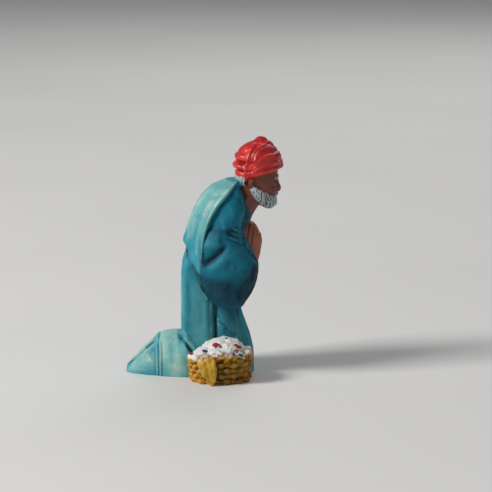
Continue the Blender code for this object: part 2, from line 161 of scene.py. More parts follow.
# The cape: height, back, widest place, half width, and where its front edge runs
CAPE = [
    (23.35, 3.3, 4.1, 1.5, 4.6),
    (22.5, 1.3, 3.6, 3.1, 3.9),
    (21.3, 0.1, 3.2, 4.3, 2.6),
    (19.5, -0.9, 2.8, 5.2, 1.3),
    (17.6, -1.55, 2.5, 5.65, 0.5),
    (15.9, -2.1, 2.3, 5.75, 0.2),
    (14.0, -2.1, 2.3, 5.7, 0.1),
    (12.2, -1.95, 2.3, 5.3, 0.1),
    (10.3, -1.9, 2.3, 4.85, 0.4),
    (9.0, -1.9, 2.3, 4.5, 1.1),
]
CAPE_NAPE = 23.3
# Below 1, the cape is squarer at the shoulder blades than an oval
CAPE_SQUARENESS = 0.8
# The hem's height at even steps from the middle of the back to the front edge
CAPE_HEM = [16.0, 15.95, 15.9, 15.8, 15.65, 15.2, 14.2, 13.3, 12.3, 11.0, 9.3]
CAPE_THICKNESS = 1.1
CAPE_RIM = 0.26
CAPE_RIM_PROUD = 0.12

# Bars: forward, to the left, up, radius
NECK = [(4.2, 0.0, 18.6, 1.75), (5.2, 0.0, 20.4, 1.75), (6.4, 0.0, 22.4, 1.85)]
COLLAR = [
    (4.2, 2.0, 22.5, 0.25),
    (4.95, 1.95, 20.9, 0.3),
    (5.7, 1.35, 19.6, 0.24),
    (6.05, 0.5, 19.05, 0.2),
    (6.1, 0.0, 18.95, 0.2),
]
CUFF = [
    (4.9, 2.1, 17.0, 0.34),
    (5.75, 2.2, 15.1, 0.4),
    (6.6, 2.5, 13.2, 0.43),
    (6.2, 3.1, 11.0, 0.42),
    (5.3, 3.5, 9.4, 0.38),
    (4.4, 3.7, 8.6, 0.34),
]
THUMB = [
    (6.2, 1.1, 13.6, 0.3),
    (6.85, 0.75, 14.7, 0.36),
    (7.1, 0.45, 15.7, 0.33),
    (7.05, 0.32, 16.7, 0.25),
]
BEARD = [
    (6.15, 1.9, 22.5, 0.35),
    (6.65, 1.9, 21.9, 0.6),
    (7.25, 1.7, 21.3, 0.78),
    (7.85, 1.2, 20.85, 0.8),
    (8.2, 0.55, 20.7, 0.8),
    (8.3, 0.0, 20.65, 0.8),
]
MOUSTACHE = [(9.15, 0.05, 21.55, 0.2), (8.95, 0.6, 21.35, 0.24), (8.4, 1.15, 21.05, 0.2)]
NOSE = [(9.1, 0.0, 23.2, 0.26), (9.25, 0.0, 22.6, 0.29), (9.35, 0.0, 22.15, 0.36), (9.1, 0.0, 21.9, 0.3)]
BROW = [(9.2, 0.1, 23.5, 0.22), (9.1, 0.75, 23.58, 0.28), (8.55, 1.4, 23.35, 0.26)]
EAR = [(6.35, 2.05, 22.2, 0.2), (6.05, 2.2, 22.8, 0.3), (6.15, 2.2, 23.3, 0.28), (6.5, 2.1, 23.35, 0.2)]
LIDS = [
    [(8.95, 0.38, 22.95, 0.09), (9.08, 0.72, 23.12, 0.11), (8.95, 1.1, 22.93, 0.09)],
    [(8.95, 0.4, 22.86, 0.08), (9.02, 0.72, 22.68, 0.09), (8.92, 1.08, 22.84, 0.08)],
]
NAPE_HAIR = [
    (4.85, 0.0, 23.4, 0.55),
    (4.95, 0.95, 23.4, 0.5),
    (5.2, 1.5, 23.4, 0.35),
    (5.5, 1.8, 23.4, 0.2),
]

# The body of the beard is a little thinner than its route says, which leaves room for the locks on it
BEARD_BODY = 0.9
BEARD_MIDDLE = (6.6, 0, 21)
# Three tiers of locks: the angles above the horizontal at which they start and end, in degrees
BEARD_TIERS = ((75, 5), (22, -58), (-40, -112))
MOUSTACHE_ROOT, MOUSTACHE_FALL, MOUSTACHE_SAG = (0.12, 0.06, 0.12), (-0.35, 0.2, -0.55), (0.1, 0.1, 0.02)
# The nape's locks hang from an upper ring to a lower one: the middle, then the half length and width
NAPE_RINGS = [((6.3, 0, 24.3), (1.85, 2.0)), ((6.35, 0, 22.65), (2.0, 2.1))]

# Eggs: forward, to the left, up, then the half length, width and height
NOSTRIL = (9.12, 0.27, 22.02, 0.2, 0.17, 0.17)
CHEEK = (8.35, 1.15, 22.05, 0.72, 0.62, 0.6)
UPPER_LIP = (9.0, 0, 21.36, 0.2, 0.42, 0.13)
LOWER_LIP = (8.98, 0, 21.1, 0.22, 0.36, 0.15)
EYE = (8.66, 0.74, 22.9, 0.33, 0.36, 0.3)
TURBAN_DOME = (6.95, 0.0, 25.1, 2.95, 2.7, 2.8)
TURBAN_KNOT = (7.3, 0.0, 27.2, 1.5, 1.1, 0.92)
TURBAN_TIP = (7.3, 0.0, 27.7, 0.85, 0.65, 0.72)
# The turban's lower edge rises towards the brow: a point of it and its slope's normal
TURBAN_EDGE = ((9.9, 0, 24.7), (-0.26, 0, 1))
# The turban's rolls on each side: an angle round from the front, an angle up, and a radius
TURBAN_ROLLS = [
    [(121, -33, 0.4), (92, -20, 0.45), (50, -7, 0.45), (0, -3, 0.45)],
    [(119, -28, 0.4), (92, -4, 0.55), (50, 9, 0.6), (0, 14, 0.6)],
    [(117, -24, 0.4), (95, 14, 0.5), (55, 28, 0.6), (0, 36, 0.6)],
    [(115, -20, 0.4), (100, 28, 0.45), (75, 50, 0.5), (0, 62, 0.5)],
    [(112, -12, 0.4), (145, -5, 0.6), (180, -3, 0.65)],
    [(118, -32, 0.35), (150, -29, 0.5), (180, -28, 0.5)],
    [(120, 20, 0.3), (148, 22, 0.5), (180, 24, 0.55)],
]
ROLL_PROUD = 0.17

# Carving and painting strokes: the side they are seen from, the route, the width and the cut's depth.
# A route on a side is forward and up, one on the front or the back is to the left and up,
# and one on top is forward and to the left.
# A negative depth raises a ridge. A painting stroke has its strength in place of the depth.
# A stroke runs out softly at both ends.
RIGHT, SIDES, FRONT, BACK, TOP = "right", "sides", "front", "back", "top"


def mirrored(where, route, width, depth):
    """The same stroke on the left and on the right of the front or the back."""
    return [(where, [(side * aside, up) for aside, up in route], width, depth) for side in (1, -1)]


ROBE_FOLDS = [
    (SIDES, [(-2.9, 5.2), (-1.7, 3.9), (-0.7, 2.6), (0.3, 0.9)], 0.22, 0.55),
    (SIDES, [(-2.2, 5.3), (-1.2, 4.2), (-0.2, 2.9), (0.8, 1.2)], 0.28, -0.2),
    (SIDES, [(1.95, 9.8), (1.8, 6.8), (1.85, 4.2), (2.0, 2.0)], 0.28, 0.42),
    (SIDES, [(1.35, 11.4), (1.35, 8.0), (1.4, 5.0), (1.5, 2.4)], 0.14, -0.06),
    (RIGHT, [(2.1, 7.6), (2.5, 6.7), (3.1, 6.0), (3.3, 5.5)], 0.13, 0.14),
    (RIGHT, [(2.1, 6.8), (2.7, 6.2), (3.3, 6.4)], 0.11, 0.1),
    (SIDES, [(3.0, 6.2), (3.5, 5.2), (4.6, 4.6)], 0.3, 0.2),
    (SIDES, [(0.2, 9.6), (0.35, 7.4), (0.2, 5.6)], 0.34, 0.07),
    (SIDES, [(-1.3, 12.0), (-1.1, 9.2), (-1.3, 6.4)], 0.35, 0.06),
    (SIDES, [(-3.4, 4.4), (-3.1, 3.0), (-3.2, 1.2)], 0.45, 0.08),
    (SIDES, [(-4.8, 4.7), (-4.7, 2.4), (-4.66, -0.6)], 0.11, -0.14),
    (SIDES, [(-4.54, 4.7), (-4.46, 2.4), (-4.42, -0.6)], 0.1, 0.07),
    (FRONT, [(0.0, 8.6), (0.1, 5.0), (0.0, -0.2)], 0.5, 0.6),
    *mirrored(FRONT, [(2.1, 8.8), (2.6, 5.6), (2.5, 3.0)], 0.3, 0.3),
    (FRONT, [(1.0, 9.6), (1.2, 6.6), (1.3, 4.4)], 0.22, 0.16),
    (FRONT, [(-1.1, 9.6), (-1.3, 6.4), (-1.2, 4.2)], 0.22, 0.16),
    (BACK, [(0.0, 15.2), (0.2, 10.0), (0.1, 4.6)], 0.4, 0.38),
    *mirrored(BACK, [(1.9, 15.0), (2.2, 10.0), (2.4, 4.6)], 0.36, 0.32),
    (BACK, [(1.0, 13.0), (1.2, 9.0), (1.1, 6.0)], 0.2, 0.1),
    (BACK, [(-1.0, 12.4), (-1.1, 9.0), (-1.2, 5.4)], 0.2, 0.1),
    *mirrored(BACK, [(3.2, 13.4), (3.4, 9.6), (3.5, 6.0)], 0.22, 0.12),
    (BACK, [(0.0, 5.0), (0.0, 3.0)], 0.7, 0.4),
]
# Paler teal: partly faded paint, partly painted light on the calves' tops, the back and the knee
ROBE_FADED_AND_LIT = [
    (SIDES, [(-5.0, 4.4), (-3.8, 3.2), (-2.8, 1.6), (-2.2, -0.6)], 1.7, 0.9),
    (TOP, [(-5.4, 0.0), (-4.0, 0.0), (-2.4, 0.0)], 3.6, 0.95),
    (SIDES, [(-0.2, 12.6), (-0.1, 8.0), (0.0, 3.0)], 1.3, 0.28),
    (SIDES, [(-1.9, 13.0), (-2.0, 9.0), (-2.0, 5.6)], 0.4, 0.15),
    (BACK, [(-2.9, 13.0), (-3.0, 9.6), (-3.0, 6.6)], 0.6, 0.4),
    (BACK, [(0.8, 13.0), (0.9, 9.6), (0.9, 6.6)], 0.6, 0.4),
    (BACK, [(-3.2, 4.7), (0.0, 4.9), (3.2, 4.7)], 0.8, 0.8),
    (SIDES, [(4.0, 6.4), (4.9, 4.0), (5.1, 2.0)], 0.8, 0.3),
]
# Cream where the paint is rubbed, and thin cream lines on the panel's edges and the hem's ridge as
# painted highlight
ROBE_WORN_AND_HIGHLIT = [
    (SIDES, [(1.3, 11.0), (1.3, 8.0), (1.35, 5.6), (1.4, 3.4)], 0.12, 0.6),
    (SIDES, [(-2.4, 6.0), (-1.6, 5.0), (-0.8, 4.0), (-0.2, 3.2)], 0.14, 0.6),
    (SIDES, [(-3.9, 4.1), (-3.3, 4.2), (-2.7, 3.7)], 0.42, 0.8),
    (SIDES, [(-3.5, 1.3), (-2.9, 1.2), (-2.2, 0.9)], 0.4, 0.6),
    (SIDES, [(-4.8, 4.2), (-4.7, 2.4), (-4.66, 0.2)], 0.08, 0.7),
    (RIGHT, [(2.4, 5.9), (2.9, 5.7), (3.3, 5.95)], 0.08, 0.9),
    *mirrored(BACK, [(2.9, 13.0), (3.0, 9.6), (3.0, 6.6)], 0.25, 0.5),
    *mirrored(BACK, [(0.9, 4.7), (1.9, 4.9), (3.0, 4.6)], 0.3, 0.6),
    *mirrored(FRONT, [(3.2, 7.2), (3.5, 4.6), (3.5, 2.0)], 0.3, 0.4),
]
# Painted shade: under the sleeves and down the thigh, on the chest, in the panel's groove and the calves'
# crease, under the cape's hem and down the front
ROBE_PAINTED_SHADE = [
    (SIDES, [(1.6, 10.2), (3.0, 9.4), (4.4, 8.6), (5.6, 8.0)], 1.25, 1.2),
    (SIDES, [(3.4, 8.6), (4.0, 5.0), (4.4, 1.0), (4.4, -2.0)], 1.3, 0.5),
    (SIDES, [(4.2, 22.6), (5.0, 20.6), (5.8, 18.8), (5.6, 17.4)], 1.3, 1.0),
    (FRONT, [(-1.6, 19.0), (0.0, 18.4), (1.6, 19.0)], 1.4, 1.0),
    *mirrored(FRONT, [(1.2, 23.0), (2.4, 20.4), (3.2, 18.6), (3.8, 16.0)], 1.3, 1.2),
    (SIDES, [(2.1, 11.0), (1.85, 8.0), (1.9, 5.0), (2.1, 1.6)], 0.3, 0.8),
    (SIDES, [(-2.6, 4.9), (-1.6, 3.75), (-0.6, 2.45), (0.2, 1.0)], 0.16, 0.9),
    (BACK, [(-4.4, 14.8), (-1.6, 15.3), (1.6, 15.3), (4.4, 14.8)], 0.6, 1.3),
    (SIDES, [(-2.0, 15.6), (-1.5, 15.2), (-1.0, 14.4)], 0.45, 1.3),
    (SIDES, [(-1.1, 13.8), (-0.4, 12.4), (0.3, 11.0), (1.1, 9.6)], 0.22, 0.7),
    (FRONT, [(0.0, 9.4), (0.0, 5.4), (0.0, 0.0)], 0.8, 0.7),
]
FOOT_FOLDS = [
    (SIDES, [(-5.2, 4.3), (-5.1, 2.2), (-5.04, -0.4)], 0.11, -0.13),
    (SIDES, [(-5.44, 4.1), (-5.36, 2.2), (-5.28, -0.4)], 0.1, 0.08),
    (SIDES, [(-5.3, 3.5), (-6.3, 2.72), (-7.3, 1.75), (-8.3, 0.75)], 0.1, 0.12),
    (SIDES, [(-5.35, 3.1), (-5.9, 3.0), (-6.6, 2.4)], 0.26, 0.1),
    (SIDES, [(-5.5, 2.0), (-6.3, 2.0), (-7.2, 1.5)], 0.3, 0.07),
    *mirrored(BACK, [(1.95, 4.2), (1.95, 2.6), (1.95, 1.0)], 0.7, 0.12),
]
# Paler teal: partly faded paint, partly painted light on the shoes' tops and backs
FOOT_FADED_AND_LIT = [
    (SIDES, [(-10.4, 0.2), (-7.8, 1.1), (-5.8, 1.5), (-3.4, 1.8)], 1.2, 0.5),
    (TOP, [(-9.0, 0.0), (-6.6, 0.0), (-4.4, 0.0)], 3.4, 0.25),
    (BACK, [(-2.6, 2.4), (0.0, 2.4), (2.6, 2.4)], 1.6, 0.5),
]
# Cream where the paint is rubbed, and thin cream lines on the hem's ridge and the soles' rims as painted
# highlight
FOOT_WORN_AND_HIGHLIT = [
    (SIDES, [(-5.2, 4.1), (-5.1, 2.2), (-5.04, 0.1)], 0.08, 0.7),
    (SIDES, [(-5.3, 3.75), (-6.3, 2.95), (-7.4, 1.9), (-8.5, 0.8)], 0.1, 0.7),
    (SIDES, [(-7.1, 1.75), (-6.5, 1.9), (-5.8, 1.7)], 0.38, 0.85),
    (SIDES, [(-8.3, 0.45), (-7.2, 0.6), (-6.0, 0.5)], 0.2, 0.45),
    *mirrored(BACK, [(1.0, 2.6), (1.9, 2.2), (2.8, 2.6)], 0.35, 0.7),
]
# Painted shade in the shoes' creases and between them at the back
FOOT_PAINTED_SHADE = [
    (SIDES, [(-5.35, 3.1), (-5.9, 3.0), (-6.8, 2.3)], 0.35, 0.5),
    (SIDES, [(-8.6, 0.6), (-7.4, 1.4), (-6.4, 1.9)], 0.5, 0.15),
    (BACK, [(0.0, 3.6), (0.0, 1.8), (0.0, 0.0)], 0.4, 0.9),
]
CAPE_FOLDS = [
    *mirrored(BACK, [(1.4, 21.8), (1.8, 18.8), (1.7, 15.9)], 0.5, 0.24),
    (BACK, [(0.1, 20.8), (0.0, 18.2), (0.1, 16.2)], 0.4, 0.16),
    *mirrored(BACK, [(3.2, 20.0), (3.7, 17.4), (3.8, 14.6)], 0.4, 0.16),
    (SIDES, [(0.9, 20.6), (-0.3, 18.4), (-0.9, 16.2), (-0.9, 14.0)], 0.5, 0.1),
]
# Paler teal: partly faded paint, partly painted light on the shoulders, the back and the front edge
CAPE_FADED_AND_LIT = [
    (SIDES, [(4.6, 23.6), (2.4, 21.8), (1.0, 19.9), (0.2, 17.8), (-0.3, 16.0)], 0.7, 0.42),
    (SIDES, [(2.2, 23.2), (-0.2, 20.4), (-1.3, 17.2), (-1.5, 15.4)], 0.6, 0.45),
    (TOP, [(4.6, 0.0), (1.8, 0.0), (-1.2, 0.0)], 3.4, 0.55),
    (SIDES, [(5.2, 23.8), (2.9, 22.0), (1.6, 20.2), (0.8, 18.3), (0.35, 16.4), (0.2, 14.2)], 0.12, 1.1),
    *mirrored(BACK, [(1.4, 22.4), (1.2, 19.6), (1.0, 16.8)], 0.8, 0.5),
]
# Cream where the paint is rubbed, and a thin cream line down the front edge as painted highlight
CAPE_WORN_AND_HIGHLIT = [
    (SIDES, [(2.4, 22.3), (1.5, 21.2), (0.8, 20.0), (0.3, 18.8)], 0.36, 0.7),
    (SIDES, [(-0.2, 17.6), (-0.35, 16.2), (-0.3, 14.4)], 0.2, 0.5),
    (
        SIDES,
        [(4.4, 23.2), (2.9, 22.0), (1.6, 20.2), (0.8, 18.3), (0.35, 16.4), (0.2, 14.2), (0.3, 11.8)],
        0.09,
        0.8,
    ),
    *mirrored(BACK, [(0.9, 22.0), (0.9, 20.0), (0.8, 17.4)], 0.25, 0.6),
    *mirrored(BACK, [(2.6, 20.6), (2.8, 18.4), (2.8, 15.8)], 0.25, 0.6),
]
# Painted shade on the cape's front tail beside the sleeve, and along its hem at the back
CAPE_PAINTED_SHADE = [
    (SIDES, [(-1.3, 14.2), (-0.7, 13.0), (0.0, 11.6), (0.9, 9.8)], 0.42, 0.8),
    (SIDES, [(-0.2, 13.0), (0.2, 11.6), (1.0, 9.9)], 0.3, 0.5),
    (BACK, [(-3.0, 15.6), (0.0, 16.1), (3.0, 15.6)], 0.16, 0.8),
]
SLEEVE_FOLDS = [
    (SIDES, [(0.3, 13.6), (1.1, 14.2), (2.1, 15.0), (2.9, 15.9), (3.2, 16.7)], 0.5, 0.52),
    (SIDES, [(0.3, 15.0), (0.9, 16.1), (1.9, 16.8), (2.9, 17.0)], 0.65, -0.22),
    (SIDES, [(1.0, 13.0), (2.1, 13.7), (3.2, 14.8)], 0.6, -0.14),
    (SIDES, [(0.4, 18.3), (1.6, 18.2), (3.0, 18.6)], 0.6, 0.22),
    (SIDES, [(1.8, 20.0), (2.8, 19.7), (3.9, 20.2)], 0.6, 0.1),
    (SIDES, [(5.9, 17.2), (5.0, 17.75), (3.9, 18.4)], 0.12, 0.16),
    (SIDES, [(5.8, 16.6), (4.8, 17.3), (3.5, 18.1)], 0.13, 0.2),
    (SIDES, [(5.8, 16.1), (4.7, 16.8), (3.2, 17.6)], 0.13, 0.22),
    (SIDES, [(5.8, 15.6), (4.6, 16.3), (2.9, 17.05)], 0.13, 0.2),
    (SIDES, [(3.2, 10.4), (4.0, 11.8), (4.9, 13.2)], 0.6, 0.08),
    (SIDES, [(6.35, 13.3), (6.1, 11.9), (5.4, 10.3), (4.6, 9.3)], 0.18, 0.16),
]
# Painted highlight on the elbow's bulge and on the ridge below its crease
SLEEVE_PAINTED_HIGHLIGHTS = [
    (SIDES, [(0.0, 16.6), (0.9, 16.3), (1.9, 16.2), (2.6, 16.6)], 0.5, 0.7),
    (SIDES, [(0.8, 12.9), (2.2, 13.9), (3.6, 15.0), (5.2, 15.6)], 0.6, 0.5),
]
# A thin cream line on the cuff's edge as painted highlight, and a few rubbed places
SLEEVE_WORN_AND_HIGHLIT = [
    (SIDES, [(5.3, 16.2), (5.8, 15.3), (6.3, 14.4)], 0.1, 0.9),
    (SIDES, [(2.6, 19.4), (3.4, 18.6), (4.2, 18.2)], 0.2, 0.25),
]
# Painted shade in the elbow's crease and the band above it, over the sleeves' lower half, by the hands,
# down the front lips and in the openings
SLEEVE_PAINTED_SHADE = [
    (SIDES, [(0.0, 13.4), (1.1, 14.1), (2.1, 14.9), (3.1, 16.2)], 0.42, 0.85),
    (SIDES, [(-1.6, 18.1), (0.4, 18.0), (2.2, 17.8), (4.4, 17.7)], 0.6, 0.55),
    (SIDES, [(-4.0, 10.3), (1.0, 9.9), (4.2, 10.1), (10.0, 11.8)], 2.4, 0.66),
    (SIDES, [(-2.6, 13.2), (-0.4, 12.4), (1.6, 11.6), (4.6, 11.0)], 0.9, 0.3),
    (SIDES, [(6.2, 16.3), (4.8, 17.0), (3.0, 17.8)], 0.5, 0.5),
    (SIDES, [(7.4, 15.6), (7.0, 13.0), (6.2, 11.0), (5.0, 8.6)], 0.8, 0.8),
    *mirrored(FRONT, [(3.2, 13.8), (3.7, 11.6), (3.7, 8.6)], 0.8, 0.75),
]
HAND_FOLDS = [
    (SIDES, [(5.5, 18.9), (5.15, 17.2), (4.7, 15.2)], 0.09, 0.13),
    (SIDES, [(6.0, 18.7), (5.7, 17.0), (5.35, 15.0)], 0.09, 0.13),
    (SIDES, [(6.55, 18.2), (6.3, 16.8), (6.0, 15.1)], 0.09, 0.13),
    (SIDES, [(4.6, 14.4), (5.6, 14.7), (6.4, 15.2)], 0.3, 0.06),
    (FRONT, [(0.0, 18.9), (0.0, 16.0), (0.0, 12.6)], 0.1, 0.24),
    *mirrored(FRONT, [(0.55, 18.4), (0.85, 16.9), (1.0, 15.2)], 0.1, 0.12),
]
FACE_LINES = [
    *mirrored(FRONT, [(0.35, 23.0), (0.72, 22.95), (1.15, 22.85)], 0.26, 0.34),
    (FRONT, [(-0.5, 21.2), (0.0, 21.22), (0.5, 21.2)], 0.09, 0.16),
    *mirrored(FRONT, [(0.42, 22.2), (0.7, 21.8), (0.85, 21.4)], 0.12, 0.1),
]
EAR_FOLDS = [
    (SIDES, [(6.0, 22.3), (5.95, 22.9), (6.2, 23.4)], 0.12, 0.16),
    (SIDES, [(6.35, 22.6), (6.3, 23.0)], 0.14, 0.14),
]
EYEBALL_RIDGES = mirrored(FRONT, [(0.5, 22.88), (0.94, 22.88)], 0.16, -0.05)
BROW_PAINT = mirrored(FRONT, [(0.2, 23.5), (0.8, 23.64), (1.5, 23.4)], 0.13, 1.5)
BLUSH = [
    (FRONT, [(-0.55, 21.24), (0, 21.26), (0.55, 21.24)], 0.2, 1.0),
    *mirrored(FRONT, [(0.9, 22.3), (1.2, 22.1), (1.5, 22.2)], 0.35, 0.8),
]
# The painted iris: how far to each side, how high, and its radius
IRIS = (0.72, 22.88, 0.3)
# The face and neck are painted darker than the hands, as painted shade under the turban
FACE_PAINTED_SHADE = (0.5, 0.38, 0.42)
# The turban's folds fan out from the ear over the front, and lie level round the back
TURBAN_CREASES = [
    (SIDES, [(5.9, 24.4), (6.9, 25.9), (8.2, 26.7), (9.8, 26.7)], 0.2, 0.16),
    (SIDES, [(5.8, 24.2), (6.9, 25.0), (8.4, 25.6), (10.2, 25.8)], 0.2, 0.16),
    (SIDES, [(5.9, 24.6), (6.4, 26.2), (7.2, 27.2), (8.8, 27.7)], 0.16, 0.14),
    (SIDES, [(6.6, 24.2), (7.8, 24.7), (9.0, 25.0), (10.2, 25.1)], 0.14, 0.1),
    (SIDES, [(5.6, 23.4), (5.75, 25.0), (6.3, 26.7), (7.3, 28.2)], 0.14, 0.1),
    (SIDES, [(5.3, 23.6), (5.5, 25.0), (6.0, 26.7), (6.9, 28.2)], 0.26, -0.12),
    (SIDES, [(3.2, 25.55), (4.4, 25.55), (5.5, 25.3)], 0.14, 0.32),
    (SIDES, [(3.2, 25.05), (4.4, 25.05), (5.4, 24.8)], 0.18, -0.12),
    (SIDES, [(3.2, 24.45), (4.4, 24.4), (5.5, 24.1)], 0.13, 0.3),
    (BACK, [(-3.4, 25.5), (0.0, 25.55), (3.4, 25.5)], 0.14, 0.32),
    (BACK, [(-3.4, 24.4), (0.0, 24.45), (3.4, 24.4)], 0.13, 0.3),
    (BACK, [(-2.4, 27.0), (-0.8, 26.5), (1.6, 26.7), (2.4, 26.9)], 0.15, 0.12),
    (FRONT, [(-2.6, 25.6), (-1.0, 25.8), (1.0, 25.8), (2.6, 25.6)], 0.17, 0.2),
    (FRONT, [(-2.4, 26.5), (-0.8, 26.8), (0.8, 26.8), (2.4, 26.5)], 0.16, 0.18),
]

# The basket and what it holds, in millimetres
BASKET_LENGTH, BASKET_WIDTH, BASKET_HEIGHT = 8.0, 7.4, 3.3
BASKET_PLACE = (2.45, -5.4)
BASKET_FLARE = 0.93
BASKET_SQUARENESS = 2.3
RIM_DIP = 0.75
# The rim's two strands: radius, how far they twist about their middle, how far that lies in and down
STRAND_RADIUS, STRAND_TWIST, STRAND_INSET, STRAND_SINK = 0.19, 0.13, 0.36, 0.16
# Shares of a rod's height: how round it stands out, how far it swings over and under, how far a stake
# stands out, and how far all of it is sunk into the basket's outline
ROD_ROUND, ROD_SWING, STAKE_PROUD, WEAVE_SUNK = 0.5, 0.28, 0.3, 0.78
# The corner of cloth: how far down, how far forward its middle is, half its width and its folds' radius.
# Its folds lie side by side, from one border at -1 to the other at 1.
CORNER_FOLD = [
    (0.0, 0.75, 0.7, 0.3),
    (0.25, 0.95, 0.78, 0.32),
    (0.55, 1.2, 0.6, 0.3),
    (0.8, 1.4, 0.3, 0.26),
    (1.0, 1.5, 0.04, 0.15),
]
CORNER_SPREADS = (-1, -0.55, -0.1, 0.4, 1)
HEAP_HEIGHT = 1.9
HEAP_SUNK = 0.35
# The heap's large lumps: place across and along as shares of the basket's half sizes, and relative size
LUMPS = [
    (-0.05, 0.16, 0.95),
    (-0.2, -0.52, 0.5),
    (-0.1, 0.58, 0.42),
    (0.3, -0.1, 0.75),
    (-0.55, -0.15, 0.45),
]
LUMP_LENGTH, LUMP_WIDTH = 0.66, 0.72
RIM_LUMPS = 15
# How strongly the heap darkens beside the rim along its length, and how high that reaches: partly
# staining, partly painted shade
STAIN_AND_SHADE_PLACES, STAIN_AND_SHADE_SHARES, STAIN_AND_SHADE_HEIGHT = (-0.4, 1.2, 4.6, 6.0), (0.2, 1.25, 1.25, 0.8), 0.85
# Olive on the basket's side away from the lamp: partly glaze, partly painted shade
BASKET_OLIVE_AND_SHADE = [(RIGHT, [(0.8, 1.2), (2.8, 1.6), (4.8, 1.8), (7.4, 1.8)], 1.1, 1.0)]
# Painted shade at the basket's foot, beside the cloth's corner and under the rim
BASKET_PAINTED_SHADE = [
    (RIGHT, [(1.2, -0.4), (3.0, 0.3), (5.0, 0.5), (7.6, 0.7)], 0.6, 1.0),
    (RIGHT, [(2.2, 3.4), (2.25, 2.2), (2.2, 1.0), (1.9, -0.4)], 0.22, 1.0),
    (RIGHT, [(0.0, 3.1), (2.2, 3.0), (4.4, 3.0), (6.8, 3.1)], 0.3, 1.0),
]
# Painted dots as the camera shows them on the figure's middle plane: forward, up, half length,
# half height, and tilt in degrees
RED_DOTS = [
    (1.92, 2.92, 0.58, 0.33, -8),
    (4.5, 2.8, 0.56, 0.32, -28),
    (4.35, 2.25, 0.42, 0.12, -4),
    (-1.1, 1.9, 0.42, 0.2, 0),
]
BLUE_DOTS = [
    (0.6, 2.25, 0.42, 0.22, -10),
    (4.05, 1.75, 0.24, 0.22, 20),
    (4.9, 1.7, 0.34, 0.18, -10),
    (3.1, 3.75, 0.2, 0.13, 0),
]

CAMERA_TARGET = (5.5, 0.0, 15.1)
CAMERA_ELEVATION = 10.0
CAMERA_DISTANCE = 300.0
VIEW_WIDTH = 59.0
SENSOR_WIDTH = 36.0

# Lamps: name, place in metres, width of the lamp in metres, power in watts
LAMPS = (
    ("key_lamp", (-0.38, -0.15, 0.3), 0.16, 2.3),
    ("fill_lamp", (0.3, -0.34, 0.14), 0.4, 0.2),
    ("back_lamp", (0.1, 0.36, 0.3), 0.3, 0.5),
)
ROOM_COLOUR, ROOM_LIGHT = (0.92, 0.95, 1.0, 1), 0.22


def size_in_mm(name, meaning, default, least):
    return bpy.props.FloatProperty(name=name, description=f"{meaning}, in mm", default=default, min=least)


def paint_colour(name, meaning, hex_colour):
    ground = linear(hex_colour)
    return bpy.props.FloatVectorProperty(name=name, description=meaning, subtype="COLOR", default=ground)


class ShepherdSizes(bpy.types.PropertyGroup):
    """Sizes that a user would change, in millimetres unless they say otherwise."""

    cloth_cell: size_in_mm("Cloth fineness", "Width of a mesh cell on cloth", 0.105, 0.07)
    detail_cell: size_in_mm("Detail fineness", "Width of a mesh cell on the head and hands", 0.07, 0.05)
    rod: size_in_mm("Wicker rod", "Height of one woven row of the basket", 0.66, 0.3)
    stakes: bpy.props.IntProperty(
        name="Stakes", description="Upright stakes round the basket, an even number", default=28, min=8
    )
    strand: size_in_mm("Hair strand", "Thickness of one moulded lock of beard or hair", 0.2, 0.1)
    wear: bpy.props.FloatProperty(
        name="Wear",
        description="How far the paint is rubbed off",
        default=0.5,
        min=0,
        max=1,
        subtype="FACTOR",
    )


class ShepherdPaints(bpy.types.PropertyGroup):
    """The paints' body colours."""

    faded_teal: paint_colour("Faded teal", "Cape, skirt and shoes", "#2b8797")
    # The sleeves' deeper teal is partly their own paint and partly painted shade, as they hang in shade
    deep_teal: paint_colour("Deep teal", "Sleeves", "#0b6b82")
    red: paint_colour("Red", "Turban", "#b8161a")
    # The face takes this colour darkened, as painted shade
    skin: paint_colour("Skin", "Hands, and a shade darker the face", "#94543b")
    grey: paint_colour("Grey", "Beard and hair", "#a9b2b6")
    ochre: paint_colour("Ochre", "Basket", "#b0780a")
    white: paint_colour("White", "What the basket holds", "#dcdcd6")


def smooth_rows(rows, count):
    """The rows read as one smooth curve, sampled at even steps."""
    rows = np.array(rows, float)
    padded = np.vstack([2 * rows[0] - rows[1], rows, 2 * rows[-1] - rows[-2]])
    at = np.linspace(0, len(rows) - 1, count)
    first = np.minimum(at.astype(int), len(rows) - 2)
    part = (at - first)[:, None]
    before, start, end, after = (padded[first + step] for step in range(4))
    return (
        start
        + 0.5 * (end - before) * part
        + (before - 2.5 * start + 2 * end - 0.5 * after) * part**2
        + 0.5 * (3 * (start - end) + after - before) * part**3
    )


def only(*objects):
    """Selects these objects alone and makes the first one active."""
    bpy.ops.object.select_all(action="DESELECT")
    for each in objects:
        each.select_set(True)
    bpy.context.view_layer.objects.active = objects[0]


@contextmanager
def all_in_edit_mode():
    """Edit mode with the whole mesh selected, and object mode again afterwards."""
    bpy.ops.object.mode_set(mode="EDIT")
    bpy.ops.mesh.select_all(action="SELECT")
    yield
    bpy.ops.object.mode_set(mode="OBJECT")


def squared_off(circle, squareness):
    """Pushes a round outline's corners out, 2 being round and 6 nearly square."""
    for vert in circle.data.vertices:
        angle = math.atan2(vert.co.y, vert.co.x)
        cos, sin = math.cos(angle), math.sin(angle)
        vert.co.x = math.copysign(abs(cos) ** (2 / squareness), cos)
        vert.co.y = math.copysign(abs(sin) ** (2 / squareness), sin)


